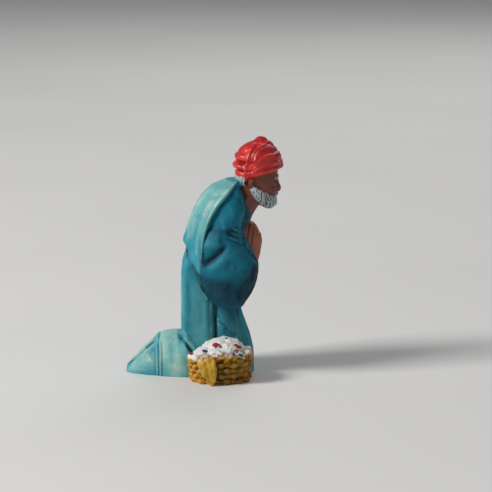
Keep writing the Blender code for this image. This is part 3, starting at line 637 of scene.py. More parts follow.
def drawn_out(sections, squareness, points, lying=False):
    """A closed form: one oval, extruded and scaled from section to section (centre and half sizes)."""
    centre, half = sections[0]
    turn = (0, math.pi / 2, 0) if lying else (0, 0, 0)
    bpy.ops.object.select_all(action="DESELECT")
    bpy.ops.mesh.primitive_circle_add(
        vertices=points, radius=1, fill_type="NGON", location=centre, rotation=turn
    )
    form = bpy.context.object
    squared_off(form, squareness)
    with all_in_edit_mode():
        bpy.ops.transform.resize(value=half, center_override=centre)
        for (last, last_half), (centre, half) in zip(sections, sections[1:]):
            step = [b - a for a, b in zip(last, centre)]
            growth = [b / a for a, b in zip(last_half, half)]
            bpy.ops.mesh.extrude_region_move(TRANSFORM_OT_translate={"value": step})
            bpy.ops.transform.resize(value=growth, center_override=centre)
    return form


def upright(rows, squareness=2.1, side=1, points=44, steps=36):
    """A form of level sections. side -1 mirrors it to the other side of the figure."""
    sections = []
    for height, back, front, right, left in smooth_rows(rows, steps):
        centre = ((back + front) / 2, side * (right + left) / 2, height)
        sections.append((centre, ((front - back) / 2, (left - right) / 2, 1)))
    return drawn_out(sections, squareness, points)


def lying(rows, squareness=2.3, side=1, top_share=1.0, steps=24):
    """A domed form along the ground, whose lower half is cut away later. side -1 mirrors it."""
    sections = []
    for forward, top, middle, half in smooth_rows(rows, steps):
        sections.append(((forward, side * middle, 0), (1, half, top * top_share)))
    return drawn_out(sections, squareness, 44, lying=True)


def bar(points, side=1, steps=14):
    """A round bar: a curve through the points, as thick as each says, turned into a mesh."""
    bpy.ops.object.select_all(action="DESELECT")
    bpy.ops.curve.primitive_nurbs_path_add()
    curve = bpy.context.object
    line = curve.data
    line.splines.clear()
    spline = line.splines.new("POLY")
    rows = smooth_rows(points, steps)
    spline.points.add(len(rows) - 1)
    for point, (x, y, z, radius) in zip(spline.points, rows):
        point.co = (x, side * y, z, 1)
        point.radius = radius
    line.bevel_depth = 1
    line.bevel_resolution = 3
    line.use_fill_caps = True
    bpy.ops.object.convert(target="MESH")
    return bpy.context.object


def both(points, **options):
    """The same bar on the left and on the right."""
    return [bar(points, side, **options) for side in (1, -1)]


def egg(shape, side=1, turn=(0, 0, 0)):
    """An egg from its place and half sizes. side -1 puts it on the other side of the figure."""
    x, y, z, *half = shape
    bpy.ops.object.select_all(action="DESELECT")
    bpy.ops.mesh.primitive_uv_sphere_add(
        segments=32, ring_count=20, radius=1, location=(x, side * y, z), rotation=turn, scale=half
    )
    return bpy.context.object


def joined(name, forms):
    """The forms as one object at the origin."""
    only(*forms)
    if len(forms) > 1:
        bpy.ops.object.join()
    bpy.ops.object.transform_apply(location=True, rotation=True, scale=True)
    piece = bpy.context.object
    piece.name = name
    piece.data.name = name
    return piece


def apply_modifier(piece, kind, **settings):
    only(piece)
    bpy.ops.object.modifier_add(type=kind)
    modifier = piece.modifiers[-1]
    for key, value in settings.items():
        setattr(modifier, key, value)
    bpy.ops.object.modifier_apply(modifier=modifier.name)


def fused(name, forms, cell):
    """The forms melted into one skin with cells that wide, without the remesh's specks."""
    piece = joined(name, forms)
    apply_modifier(piece, "REMESH", mode="VOXEL", voxel_size=cell)
    with all_in_edit_mode():
        bpy.ops.mesh.separate(type="LOOSE")
    parts = list(bpy.context.selected_objects)
    specks = [part for part in parts if len(part.data.vertices) < FEWEST_POINTS]
    forms = [part for part in parts if part not in specks]
    if specks:
        only(*specks)
        bpy.ops.object.delete()
    return joined(name, forms)


def cut_below(piece, place=(0, 0, 0), upward=(0, 0, 1)):
    """Cuts away what lies below a plane, the ground at first, and closes the cut."""
    only(piece)
    with all_in_edit_mode():
        bpy.ops.mesh.bisect(plane_co=place, plane_no=upward, use_fill=True, clear_inner=True)


def read_vectors(mesh, name):
    values = np.empty(len(mesh.vertices) * 3, np.float32)
    mesh.vertices.foreach_get(name, values)
    return values.reshape(-1, 3).astype(float)


def write_places(mesh, places):
    mesh.vertices.foreach_set("co", places.astype(np.float32).ravel())
    mesh.update()


def surface_of(piece):
    """The piece's mesh, and its vertices' places and normals."""
    return piece.data, read_vectors(piece.data, "co"), read_vectors(piece.data, "normal")


def stand(piece, reach=0.06):
    """Presses what lies that close to the ground flat onto it."""
    points = read_vectors(piece.data, "co")
    points[points[:, 2] < reach, 2] = 0
    write_places(piece.data, points)


def seen_from(points, normals, where):
    """Each point as that side shows it, and how squarely it faces that side."""
    if where in (FRONT, BACK):
        outward = normals[:, 0] * (1 if where == FRONT else -1)
        return points[:, [1, 2]], np.clip(outward * 1.8, 0, 1)
    if where == TOP:
        return points[:, [0, 1]], np.clip(normals[:, 2] * 1.8, 0, 1)
    outward = np.abs(normals[:, 1]) if where == SIDES else -normals[:, 1]
    return points[:, [0, 2]], np.clip(outward * 1.6, 0, 1)


def near_route(seen, route):
    """How far each seen point lies from the bent line, and how far along it, from 0 to 1."""
    lengths = np.linalg.norm(np.diff(route, axis=0), axis=1)
    starts = np.concatenate([[0], np.cumsum(lengths)])
    gap = np.full(len(seen), np.inf)
    along = np.zeros(len(seen))
    for start, end, length, run in zip(route, route[1:], lengths, starts):
        way = end - start
        share = np.clip((seen - start) @ way / (way @ way), 0, 1)
        distance = np.linalg.norm(seen - start - share[:, None] * way, axis=1)
        nearer = distance < gap
        gap[nearer] = distance[nearer]
        along[nearer] = (run + share[nearer] * length) / starts[-1]
    return gap, along


def stroke_strength(points, normals, stroke):
    """How deep or strong one stroke of a tool or brush is at each point."""
    where, route, width, depth = stroke
    seen, share = seen_from(points, normals, where)
    route = smooth_rows(route, 4 * len(route))
    inside = np.all((seen > route.min(0) - 3 * width) & (seen < route.max(0) + 3 * width), axis=1)
    near = np.flatnonzero(inside & (share > 0))
    gap, along = near_route(seen[near], route)
    ends = np.clip(np.minimum(along, 1 - along) / 0.2, 0, 1)
    strength = np.zeros(len(points))
    strength[near] = share[near] * ends * ends * (3 - 2 * ends) * np.exp(-((gap / width) ** 2))
    return strength * depth


def strokes_together(points, normals, strokes):
    """How deep or strong all the strokes are at each point."""
    return sum((stroke_strength(points, normals, stroke) for stroke in strokes), np.zeros(len(points)))


def carve(piece, strokes):
    """Presses the strokes into the skin."""
    mesh, points, normals = surface_of(piece)
    write_places(mesh, points - normals * strokes_together(points, normals, strokes)[:, None])


def knead(piece, height, size, seed):
    """Soft unevenness of that height and size, as a modeller's thumb leaves it."""
    mesh, points, normals = surface_of(piece)
    shift = Vector((seed * 7.3, seed * 3.1, seed * 5.7))
    lift = np.array([noise.noise(Vector(point) / size + shift) for point in points])
    write_places(mesh, points + normals * (height * lift)[:, None])


def note(mesh, name, values):
    """Keeps one number per vertex for the paint to read."""
    kept = mesh.attributes.new(name, "FLOAT", "POINT")
    kept.data.foreach_set("value", np.asarray(values, np.float32))


def note_relief(piece, near=5, far=45):
    """Notes how far each vertex stands out of the skin around it, in mm: closely and widely."""
    mesh, points, normals = surface_of(piece)
    ends = np.empty(len(mesh.edges) * 2, np.int32)
    mesh.edges.foreach_get("vertices", ends)
    first, second = ends[::2], ends[1::2]
    count = np.maximum(np.bincount(ends, minlength=len(points)), 1)
    eased = points.copy()
    for turn in range(1, far + 1):
        for k in range(3):
            total = np.bincount(first, eased[second, k], len(points))
            total += np.bincount(second, eased[first, k], len(points))
            eased[:, k] = (eased[:, k] + total / count) / 2
        if turn == near:
            note(mesh, "edge", np.sum((points - eased) * normals, axis=1))
    note(mesh, "fold", np.sum((points - eased) * normals, axis=1))


def soften(piece, iterations=2, factor=0.5):
    apply_modifier(piece, "SMOOTH", factor=factor, iterations=iterations)


def moulded(name, forms, cell, folds, kneading):
    """The forms fused, softened, carved with folds and kneaded to a height and size with a seed."""
    piece = fused(name, forms, cell)
    soften(piece)
    carve(piece, folds)
    knead(piece, *kneading)
    return piece


def thin(piece):
    """Keeps the piece under MOST_TRIANGLES triangles, thinning it when it has more."""
    triangles = sum(len(face.vertices) - 2 for face in piece.data.polygons)
    if triangles > MOST_TRIANGLES:
        apply_modifier(piece, "DECIMATE", ratio=MOST_TRIANGLES / triangles)


def finish_piece(piece, material):
    """Paints the piece, brings it from millimetres to metres and ties it to the solid model."""
    piece.data.materials.clear()
    piece.data.materials.append(material)
    only(piece)
    bpy.ops.object.shade_smooth()
    piece.scale = (MM, MM, MM)
    bpy.ops.object.transform_apply(location=False, rotation=False, scale=True)
    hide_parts(NODE)
    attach(piece, "root")


def cape_point(height, share):
    """A point of the cape: share runs from -1 at the right front edge over 0 at the back to 1."""
    rows = np.array(CAPE)[::-1]
    back, middle, half, edge = (np.interp(height, rows[:, 0], rows[:, k]) for k in (1, 2, 3, 4))
    angle = share * math.acos(np.clip((middle - edge) / (middle - back), -1, 1))
    aside = half * math.copysign(abs(math.sin(angle)) ** CAPE_SQUARENESS, angle)
    return (middle - (middle - back) * math.cos(angle), aside, height)


def on_turban(points):
    """The roll's points as places: each bar stands a little proud of the dome."""
    places = []
    for round_deg, up_deg, radius in points:
        turn, rise = math.radians(round_deg), math.radians(up_deg)
        way = (math.cos(rise) * math.cos(turn), math.cos(rise) * math.sin(turn), math.sin(rise))
        reach = [half - radius + ROLL_PROUD for half in TURBAN_DOME[3:]]
        place = [TURBAN_DOME[k] + way[k] * reach[k] for k in range(3)]
        places.append((*place, radius))
    return places


def hair_locks(starts, ends, sag, strand, side=1):
    """Wavy locks, each lying from its start over the body of hair beneath it to its end."""
    bars = []
    for k, (start, end) in enumerate(zip(np.array(starts), np.array(ends))):
        share = np.linspace(0, 1, 9)
        places = start + (end - start) * share[:, None]
        across = np.cross(end - start, sag[k])
        across /= np.linalg.norm(across)
        places += np.array(sag[k]) * np.sin(math.pi * share)[:, None]
        places += across * (0.35 * strand * np.sin(2.2 * math.pi * share + 2.1 * k))[:, None]
        radius = strand / 2 * np.interp(share, (0, 0.25, 0.7, 1), (0.5, 1, 0.95, 0.35))
        bars.append(bar(np.column_stack([places, radius]), side, steps=18))
    return bars


def beard_locks(route, count, strand, side):
    """Locks in three tiers over a bar-shaped body of hair, from its upper edge to its lower one."""
    rows = smooth_rows(route, count)
    heading = np.gradient(rows[:, :3], axis=0)
    heading /= np.linalg.norm(heading, axis=1)[:, None]
    out = np.cross(heading, (0.0, 0.0, 1.0))
    out /= np.linalg.norm(out, axis=1)[:, None]
    out *= np.where(np.sum(out * (rows[:, :3] - BEARD_MIDDLE), axis=1) < 0, -1, 1)[:, None]
    up = np.array((0.0, 0.0, 1.0))
    bars = []
    for top, bottom in BEARD_TIERS:
        starts, ends, sags = [], [], []
        for k, (row, outward, along) in enumerate(zip(rows, out, heading)):
            high = math.radians(top + 12 * math.sin(2.6 * k + top))
            low = math.radians(bottom + 12 * math.sin(1.9 * k + top))
            start = row[:3] + row[3] * (outward * math.cos(high) + up * math.sin(high))
            stop = row[:3] + 1.06 * row[3] * (outward * math.cos(low) + up * math.sin(low))
            middle = (high + low) / 2
            bulge = row[3] * (1.06 - math.cos((high - low) / 2))
            starts.append(start)
            ends.append(stop + along * (0.24 + 0.14 * math.sin(3.3 * k)))
            sags.append(bulge * (outward * math.cos(middle) + up * math.sin(middle)))
        bars += hair_locks(starts, ends, sags, strand, side)
    return bars


def add_node(tree, kind, inputs=(), output=0, **settings):
    """Adds a node with its settings, feeds its inputs with values or outputs, and gives its output."""
    node = tree.nodes.new(kind)
    for key, value in settings.items():
        setattr(node, key, value)
    for key, value in dict(inputs).items():
        if isinstance(value, bpy.types.NodeSocket):
            tree.links.new(value, node.inputs[key])
        else:
            node.inputs[key].default_value = value
    return node.outputs[output] if node.outputs else node


ACRYLIC_IOR = 1.49
# How far the skin stands out closely and widely, as note_relief notes it
RELIEF = ("edge", "fold")


def start_paint(name, patterns, noted):
    """A material with its sources: cloudy patterns (width in mm, stretch, detail) and noted numbers."""
    material = bpy.data.materials.new(name)
    material.use_nodes = True
    tree = material.node_tree
    tree.nodes.clear()
    places = add_node(tree, "ShaderNodeTexCoord", output="Object")
    sources = {}
    for k, (key, (width, stretch, detail)) in enumerate(patterns.items()):
        scale = [1 / (MM * width * share) for share in stretch]
        moves = {"Vector": places, "Scale": scale, "Location": (3 * k, k, 0)}
        mapped = add_node(tree, "ShaderNodeMapping", moves)
        noisy = {"Vector": mapped, "Scale": 1.0, "Detail": detail}
        sources[key] = add_node(tree, "ShaderNodeTexNoise", noisy)
    for key in noted:
        sources[key] = add_node(tree, "ShaderNodeAttribute", output="Fac", attribute_name=key)
    return material, tree, sources


def brush_on(tree, sources, ground, coats):
    """The ground under its coats: each a colour, a strength, and masks (source, none at, full at)."""
    colour = (*ground, 1)
    for over, strength, masks in coats:
        share = strength
        for source, none_at, full_at in masks:
            limits = {"Value": sources[source], "From Min": none_at, "From Max": full_at}
            mask = add_node(tree, "ShaderNodeMapRange", limits, interpolation_type="SMOOTHSTEP")
            share = add_node(tree, "ShaderNodeMath", {0: share, 1: mask}, operation="MULTIPLY")
        mixed = {0: share, 6: colour, 7: (*over, 1)}
        colour = add_node(tree, "ShaderNodeMix", mixed, output=2, data_type="RGBA")
    return colour


def painted(name, patterns, noted, ground, coats, surface, coat=0.0, shine=0.5):
    """A finished paint. Its surface is a pattern, the bump it gives in mm and its two roughnesses."""
    material, tree, sources = start_paint(name, patterns, noted)
    colour = brush_on(tree, sources, ground, coats)
    grain, depth, dull, bright = surface
    limits = {"Value": sources[grain], "From Min": 0.3, "From Max": 0.7, "To Min": dull, "To Max": bright}
    roughness = add_node(tree, "ShaderNodeMapRange", limits)
    bumps = {"Height": sources[grain], "Distance": depth * MM, "Strength": 1.0}
    normal = add_node(tree, "ShaderNodeBump", bumps)
    shader = {
        "Base Color": colour,
        "Roughness": roughness,
        "Normal": normal,
        "IOR": ACRYLIC_IOR,
        "Specular IOR Level": shine,
        "Coat Weight": coat,
        "Coat Roughness": 0.25,
    }
    principled = add_node(tree, "ShaderNodeBsdfPrincipled", shader)
    add_node(tree, "ShaderNodeOutputMaterial", {"Surface": principled})
    return material


def teal_acrylic(name, tones, wear):
    """Teal satin acrylic, brushed by hand over moulded vinyl.

    The brush leaves upright streaks and cloudy thin places. Folds and creases are darkened as painted
    shade, the ridges are dry-brushed pale and lightened as painted highlight, and handling has rubbed
    patches through to the cream undercoat, with thin cream lines on some ridges as painted highlight too.
    Paler stretches are partly faded paint and partly painted light.
    Real bristle marks are 0.05 to 0.1 mm apart, drawn here 0.3 mm apart so that they show.
    """
    patterns = {
        "clouds": (2.4, (1, 1, 1.3), 3.0),
        "patches": (1.0, (1, 1, 1.5), 5.0),
        "streaks": (0.3, (1, 1, 5), 4.0),
        "fleck": (0.17, (1, 1, 1.5), 5.0),
        "pits": (0.3, (1, 1, 1), 1.0),
    }
    ground, light, pale, deep = tones
    # The darkest teal is painted shade, and also the colour of the vinyl's pits
    shade_and_pits, cream, rose = (linear(c) for c in ("#04202f", "#d9d8c6", "#c9a79c"))
    coats = [
        (light, 0.35, [("clouds", 0.42, 0.7)]),
        (light, 0.15, [("streaks", 0.48, 0.75)]),
        (deep, 0.35, [("patches", 0.5, 0.32)]),
        # Paler where the paler strokes lie: partly faded paint, partly painted light
        (pale, 0.7, [("faded", 0.05, 0.95)]),
        (light, 0.5, [("faded", 0.1, 0.6), ("patches", 0.58, 0.4)]),
        # Lighter on the ridges: painted highlight
        (light, 0.4, [("fold", 0.03, 0.3)]),
        # Painted shade: the dark tone where the strokes noted as deep lie, and the darkest in folds,
        # creases and those strokes
        (deep, 0.92, [("deep", 0.0, 0.9)]),
        (shade_and_pits, 0.6, [("fold", -0.03, -0.26)]),
        (shade_and_pits, 0.6, [("edge", -0.012, -0.06)]),
        (shade_and_pits, 0.8, [("deep", 0.4, 1.1)]),
        # Lighter mottling inside the painted shade
        (light, 0.16, [("deep", 0.2, 0.8), ("patches", 0.58, 0.36)]),
        # Pale on sharp edges: dry-brushed, and painted highlight too
        (pale, 0.6, [("edge", 0.014, 0.05)]),
        # Cream where the rubbed strokes lie: rubbed paint, and along some ridges painted highlight
        (cream, 0.4 * wear, [("worn", 0.1, 0.9), ("patches", 0.36, 0.7)]),
        (cream, 0.42 * wear, [("worn", 0.15, 0.8), ("fleck", 0.45, 0.68)]),
        (rose, 0.5 * wear, [("worn", 0.2, 0.9), ("patches", 0.5, 0.38), ("fleck", 0.46, 0.6)]),
        (cream, 0.5 * wear, [("edge", 0.03, 0.07), ("fleck", 0.48, 0.62)]),
        (shade_and_pits, 0.85, [("pits", 0.74, 0.78)]),
    ]
    noted = (*RELIEF, "faded", "worn", "deep")
    return painted(name, patterns, noted, ground, coats, ("streaks", 0.02, 0.52, 0.7), shine=0.22)


# Teal tones: the ground, a lighter one for streaks and painted highlight, a pale one for faded paint,
# painted light and edge highlight, and a dark one for random patches and painted shade
def faded_tones(paints):
    return paints.faded_teal, linear("#52a3a3"), linear("#a4c9b8"), linear("#11556b")


def deep_tones(paints):
    return paints.deep_teal, linear("#187d8e"), linear("#38909c"), linear("#052a3d")


def red_enamel(ground, wear):
    """Red gloss enamel, flowed on thickly over moulded vinyl.

    It is orange on the folds as painted highlight and ox-blood in them as painted shade, and is the
    shiniest of the large paints. It chips to pink on the highest folds, which also stands for their
    glossy highlight.
    """
    patterns = {
        "clouds": (1.5, (1, 1, 0.7), 3.0),
        "streaks": (0.28, (4, 4, 1), 4.0),
        "fleck": (0.16, (1, 1, 1), 5.0),
    }
    bright, dark, chip_and_glint = (linear(c) for c in ("#e8401f", "#6a090c", "#e89c8c"))
    # Orange in clouds and, as painted highlight, on folds and edges; ox-blood in clouds and, as painted
    # shade, in folds and creases
    coats = [
        (bright, 0.45, [("clouds", 0.42, 0.7)]),
        (bright, 0.6, [("fold", 0.02, 0.24)]),
        (dark, 0.35, [("clouds", 0.46, 0.3)]),
        (dark, 0.8, [("fold", -0.02, -0.26)]),
        (dark, 0.6, [("edge", -0.008, -0.06)]),
        (bright, 0.6, [("edge", 0.012, 0.05)]),
        # Pink chips on the highest edges, which also stand for the glossy highlight
        (chip_and_glint, 0.7 * wear, [("edge", 0.03, 0.07), ("fleck", 0.5, 0.64)]),
    ]
    surface = ("streaks", 0.014, 0.3, 0.44)
    return painted("red_gloss_enamel_on_vinyl", patterns, RELIEF, ground, coats, surface, coat=0.1)


def flesh_acrylic(ground):
    """Brown satin acrylic on moulded vinyl.

    It is warm on cheeks and lips, lighter where it stands proud as painted highlight, and darker in its
    lines as painted shade.
    The brows are touched with grey.
    """
    patterns = {"clouds": (1.4, (1, 1, 1), 3.0), "fleck": (0.14, (1, 1, 1), 4.0)}
    noted = (*RELIEF, "blush", "brow")
    light = tuple(1.9 * part for part in ground)
    crease_shade, warm, grey = (linear(c) for c in ("#30130c", "#8f2f24", "#9aa0a2"))
    coats = [
        # Lighter in clouds, and on what stands proud as painted highlight
        (light, 0.4, [("clouds", 0.4, 0.72)]),
        (light, 0.55, [("fold", 0.03, 0.22)]),
        # Darker in lines and creases: painted shade
        (crease_shade, 0.8, [("fold", -0.01, -0.2)]),
        (crease_shade, 0.7, [("edge", -0.006, -0.05)]),
        (warm, 0.6, [("blush", 0.1, 0.9)]),
        (grey, 0.85, [("brow", 0.25, 0.8), ("fleck", 0.36, 0.5)]),
    ]
    surface = ("fleck", 0.008, 0.34, 0.46)
    return painted("flesh_satin_acrylic_on_vinyl", patterns, noted, ground, coats, surface)


def dry_brushed_and_shaded_grey(ground):
    """Pale grey acrylic dragged dry over a slate undercoat on moulded vinyl.

    Only the tops of the locks catch it, so the gaps between them stay dark. The dark gaps are also
    painted shade, and the white tops painted highlight too.
    """
    patterns = {"clouds": (0.9, (1, 1, 1), 3.0), "fleck": (0.12, (1, 1, 1), 5.0)}
    slate, white, warm = (linear(c) for c in ("#333f4b", "#eef0ec", "#a38d84"))
    coats = [
        # Slate in the gaps between the locks: undercoat, and painted shade
        (slate, 0.95, [("edge", 0.01, -0.016)]),
        (warm, 0.45, [("clouds", 0.5, 0.68)]),
        # White on the locks' tops: dry-brushed, and painted highlight
        (white, 0.95, [("edge", 0.012, 0.034), ("fleck", 0.34, 0.5)]),
    ]
    surface = ("fleck", 0.008, 0.42, 0.58)
    return painted("dry_brushed_and_shaded_acrylic_on_vinyl", patterns, RELIEF, ground, coats, surface)


def ochre_wicker_with_painted_shade(ground):
    """Ochre satin acrylic over a moulded weave, dark brown in its gaps as painted shade.

    One side is olive, partly glaze and partly painted shade. The rods' tops are straw yellow, partly
    rubbed paint and partly painted highlight, and the foot and rim are painted nearly black as painted
    shade.
    """
    patterns = {
        "clouds": (1.8, (1, 1, 1), 3.0),
        "fleck": (0.16, (2, 2, 1), 5.0),
        "blots": (0.8, (1, 1, 1.4), 4.0),
    }
    noted = (*RELIEF, "deep", "grime")
    straw, olive, orange, brown = (linear(c) for c in ("#e4b82c", "#5e4c08", "#b05c08", "#221003"))
    coats = [
        (straw, 0.4, [("clouds", 0.45, 0.68)]),
        (orange, 0.6, [("blots", 0.5, 0.68)]),
        # Olive where the strokes noted as deep lie, on the side away from the lamp: partly glaze, partly
        # painted shade
        (olive, 0.85, [("deep", 0.15, 0.9), ("blots", 0.7, 0.42)]),
        # Dark brown in the weave's gaps, and at the foot, the rim and the cloth's border: painted shade
        (brown, 0.8, [("fold", 0.0, -0.16)]),
        (brown, 0.9, [("edge", 0.0, -0.035)]),
        # Straw yellow on the rods' tops: rubbed paint, and painted highlight
        (straw, 0.8, [("edge", 0.004, 0.034), ("fleck", 0.34, 0.54)]),
        (brown, 0.8, [("grime", 0.1, 0.8), ("fleck", 0.7, 0.4)]),
    ]
    surface = ("fleck", 0.016, 0.34, 0.52)
    return painted("ochre_acrylic_with_painted_shade_on_vinyl", patterns, noted, ground, coats, surface, shine=0.35)


def straw_acrylic():
    """Straw yellow satin acrylic on moulded vinyl, lighter on its folds as painted highlight and brown in
    its creases and at its borders as painted shade.
    """
    patterns = {"clouds": (0.9, (1, 1, 2), 3.0), "streaks": (0.16, (1, 1, 5), 4.0)}
    ochre, pale, olive, brown = (linear(c) for c in ("#b98818", "#dcb848", "#7a5f12", "#4b2d0c"))
    coats = [
        # Pale on the folds as painted highlight, and in random streaks
        (pale, 0.6, [("fold", 0.0, 0.14)]),
        (pale, 0.4, [("streaks", 0.48, 0.7)]),
        (olive, 0.75, [("clouds", 0.48, 0.66)]),
        # Brown in the creases and at the borders: painted shade
        (brown, 0.85, [("fold", -0.01, -0.16)]),
        (brown, 0.7, [("edge", -0.006, -0.05)]),
    ]
    surface = ("streaks", 0.012, 0.32, 0.46)
    return painted("straw_satin_acrylic_on_vinyl", patterns, RELIEF, ochre, coats, surface)


def chalk_acrylic(ground):
    """Chalky white acrylic dabbed on in lumps over moulded vinyl.

    Its neighbours have stained it rose, green and cream. Its hollows are grey as painted shade, and its
    foot by the rim is reddish brown, partly staining and partly painted shade.
    """
    patterns = {
        "clouds": (1.7, (1, 1, 1), 2.0),
        "stains": (1.1, (1, 1, 1), 3.0),
        "dabs": (0.4, (1, 1, 1), 4.0),
    }
    rose, green, cream = (linear(c) for c in ("#d49aa4", "#b4cbbf", "#e9dfb4"))
    shade, rust_and_shade = linear("#6f7c86"), linear("#7a343a")
    coats = [
        (cream, 0.5, [("clouds", 0.5, 0.66)]),
        (green, 0.5, [("stains", 0.5, 0.34)]),
        (rose, 0.55, [("stains", 0.52, 0.68)]),
        # Grey in the hollows: painted shade
        (shade, 0.7, [("fold", -0.02, -0.2)]),
        (shade, 0.5, [("edge", -0.008, -0.05)]),
        # Reddish brown at the foot by the rim: partly staining, partly painted shade
        (rust_and_shade, 0.85, [("grime", 0.15, 0.75), ("dabs", 0.36, 0.54)]),
    ]
    surface = ("dabs", 0.05, 0.36, 0.54)
    return painted("chalk_acrylic_on_vinyl", patterns, (*RELIEF, "grime"), ground, coats, surface)


def gloss_drop(name, ground, shade):
    """One thick drop of gloss enamel from the tip of a brush, darker in blotches and, as painted shade,
    in its dents.
    """
    patterns = {"clouds": (0.35, (1, 1, 1), 3.0)}
    coats = [(shade, 0.75, [("clouds", 0.45, 0.66)]), (shade, 0.6, [("edge", 0.0, -0.03)])]
    return painted(name, patterns, ("edge",), ground, coats, ("clouds", 0.01, 0.2, 0.32), coat=0.3)


def eye_enamel():
    """Off-white gloss enamel with a dark brown dot, both from a fine brush."""
    patterns = {"fleck": (0.1, (1, 1, 1), 3.0)}
    white, brown = linear("#ddd5ca"), linear("#1d100b")
    coats = [(brown, 1.0, [("iris", 0.4, 0.6)])]
    surface = ("fleck", 0.004, 0.18, 0.26)
    return painted("eye_gloss_enamel_on_vinyl", patterns, ("iris",), white, coats, surface, coat=0.4)


def matt_card():
    """Pale matt card for the floor, with a faint fibre grain and no shine."""
    patterns = {"clouds": (60.0, (1, 1, 1), 1.0), "fibres": (0.5, (1, 1, 1), 3.0)}
    white, shade = linear("#dedcd9"), linear("#d9d7d3")
    coats = [(shade, 0.6, [("clouds", 0.3, 0.7)])]
    return painted("pale_matt_card", patterns, (), white, coats, ("fibres", 0.01, 0.8, 0.92))


def note_strokes(piece, **strokes):
    """Notes how strongly each named set of brush strokes covers each vertex, from 0 to 1."""
    mesh, points, normals = surface_of(piece)
    for name, routes in strokes.items():
        note(mesh, name, np.clip(strokes_together(points, normals, routes), 0, 1))


def finish_cloth(piece, paint, faded, worn, deep):
    """Notes the relief and the brush strokes that the teal paint reads, and finishes the piece."""
    note_relief(piece)
    note_strokes(piece, faded=faded, worn=worn, deep=deep)
    finish_piece(piece, paint)


def chosen(context):
    """The sizes and the paints that are set in the panel."""
    return context.scene.shepherd_sizes, context.scene.shepherd_paints


class SHEPHERD_OT_robe(bpy.types.Operator):
    """Models the robe: its body, the skirt's flat back panel, the cloth over the calves and the collar"""

    bl_idname = "shepherd.robe"
    bl_label = "Robe"

    def execute(self, context):
        sizes, paints = chosen(context)
        forms = [upright(ROBE, 2.45), upright(PANEL, 6), lying(CALVES, 2.5), *both(COLLAR)]
        robe = moulded("robe", forms, sizes.cloth_cell, ROBE_FOLDS, (0.05, 1.6, 1))
        cut_below(robe)
        thin(robe)
        paint = teal_acrylic("robe_satin_acrylic_on_vinyl", faded_tones(paints), 1.6 * sizes.wear)
        finish_cloth(robe, paint, ROBE_FADED_AND_LIT, ROBE_WORN_AND_HIGHLIT, ROBE_PAINTED_SHADE)
        return {"FINISHED"}


class SHEPHERD_OT_shoes(bpy.types.Operator):
    """Models the two soft shoes that lie behind, soles up"""

    bl_idname = "shepherd.shoes"
    bl_label = "Shoes"

    def execute(self, context):
        sizes, paints = chosen(context)
        forms = [lying(FOOT), lying(FOOT, side=-1, top_share=NEAR_FOOT_DROP)]
        shoes = moulded("shoes", forms, 0.8 * sizes.cloth_cell, FOOT_FOLDS, (0.04, 1.2, 2))
        cut_below(shoes)
        paint = teal_acrylic("shoe_satin_acrylic_on_vinyl", faded_tones(paints), 1.8 * sizes.wear)
        finish_cloth(shoes, paint, FOOT_FADED_AND_LIT, FOOT_WORN_AND_HIGHLIT, FOOT_PAINTED_SHADE)
        return {"FINISHED"}


class SHEPHERD_OT_cape(bpy.types.Operator):
    """Models the short cape: a grid laid round the back, thickened, with a rim down each front edge"""

    bl_idname = "shepherd.cape"
    bl_label = "Cape"

    def execute(self, context):
        sizes, paints = chosen(context)
        bpy.ops.object.select_all(action="DESELECT")
        bpy.ops.mesh.primitive_grid_add(x_subdivisions=90, y_subdivisions=60, size=2)
        sheet = bpy.context.object
        for vert in sheet.data.vertices:
            share = vert.co.x
            hem = np.interp(abs(share), np.linspace(0, 1, len(CAPE_HEM)), CAPE_HEM)
            vert.co = cape_point(hem + (CAPE_NAPE - hem) * (vert.co.y + 1) / 2, share)
        apply_modifier(sheet, "SOLIDIFY", thickness=CAPE_THICKNESS, offset=1)
        forms = [sheet, self.rim(1), self.rim(-1)]
        cape = moulded("cape", forms, sizes.cloth_cell, CAPE_FOLDS, (0.05, 1.5, 3))
        thin(cape)
        paint = teal_acrylic("cape_satin_acrylic_on_vinyl", faded_tones(paints), 1.8 * sizes.wear)
        finish_cloth(cape, paint, CAPE_FADED_AND_LIT, CAPE_WORN_AND_HIGHLIT, CAPE_PAINTED_SHADE)
        return {"FINISHED"}

    def rim(self, side):
        """The bead down one front edge, thinner at both ends."""
        points = []
        for height in np.linspace(CAPE_NAPE - 0.1, CAPE_HEM[-1] + 0.1, 12):
            x, y, z = cape_point(height, side)
            points.append((x, y - side * (CAPE_RIM - CAPE_RIM_PROUD), z, CAPE_RIM))
        for end in (0, -1):
            points[end] = (*points[end][:3], 0.5 * CAPE_RIM)
        return bar(points, steps=40)


class SHEPHERD_OT_sleeves(bpy.types.Operator):
    """Models the two wide hanging sleeves with their lips"""

    bl_idname = "shepherd.sleeves"
    bl_label = "Sleeves"

    def execute(self, context):
        sizes, paints = chosen(context)
        paint = teal_acrylic("sleeve_satin_acrylic_on_vinyl", deep_tones(paints), sizes.wear)
        for name, side in (("sleeve_left", -1), ("sleeve_right", 1)):
            forms = [upright(SLEEVE, 2.1, side), bar(CUFF, -side)]
            sleeve = moulded(name, forms, sizes.cloth_cell, SLEEVE_FOLDS, (0.05, 1.5, 4 + side))
            finish_cloth(sleeve, paint, SLEEVE_PAINTED_HIGHLIGHTS, SLEEVE_WORN_AND_HIGHLIT, SLEEVE_PAINTED_SHADE)
        return {"FINISHED"}


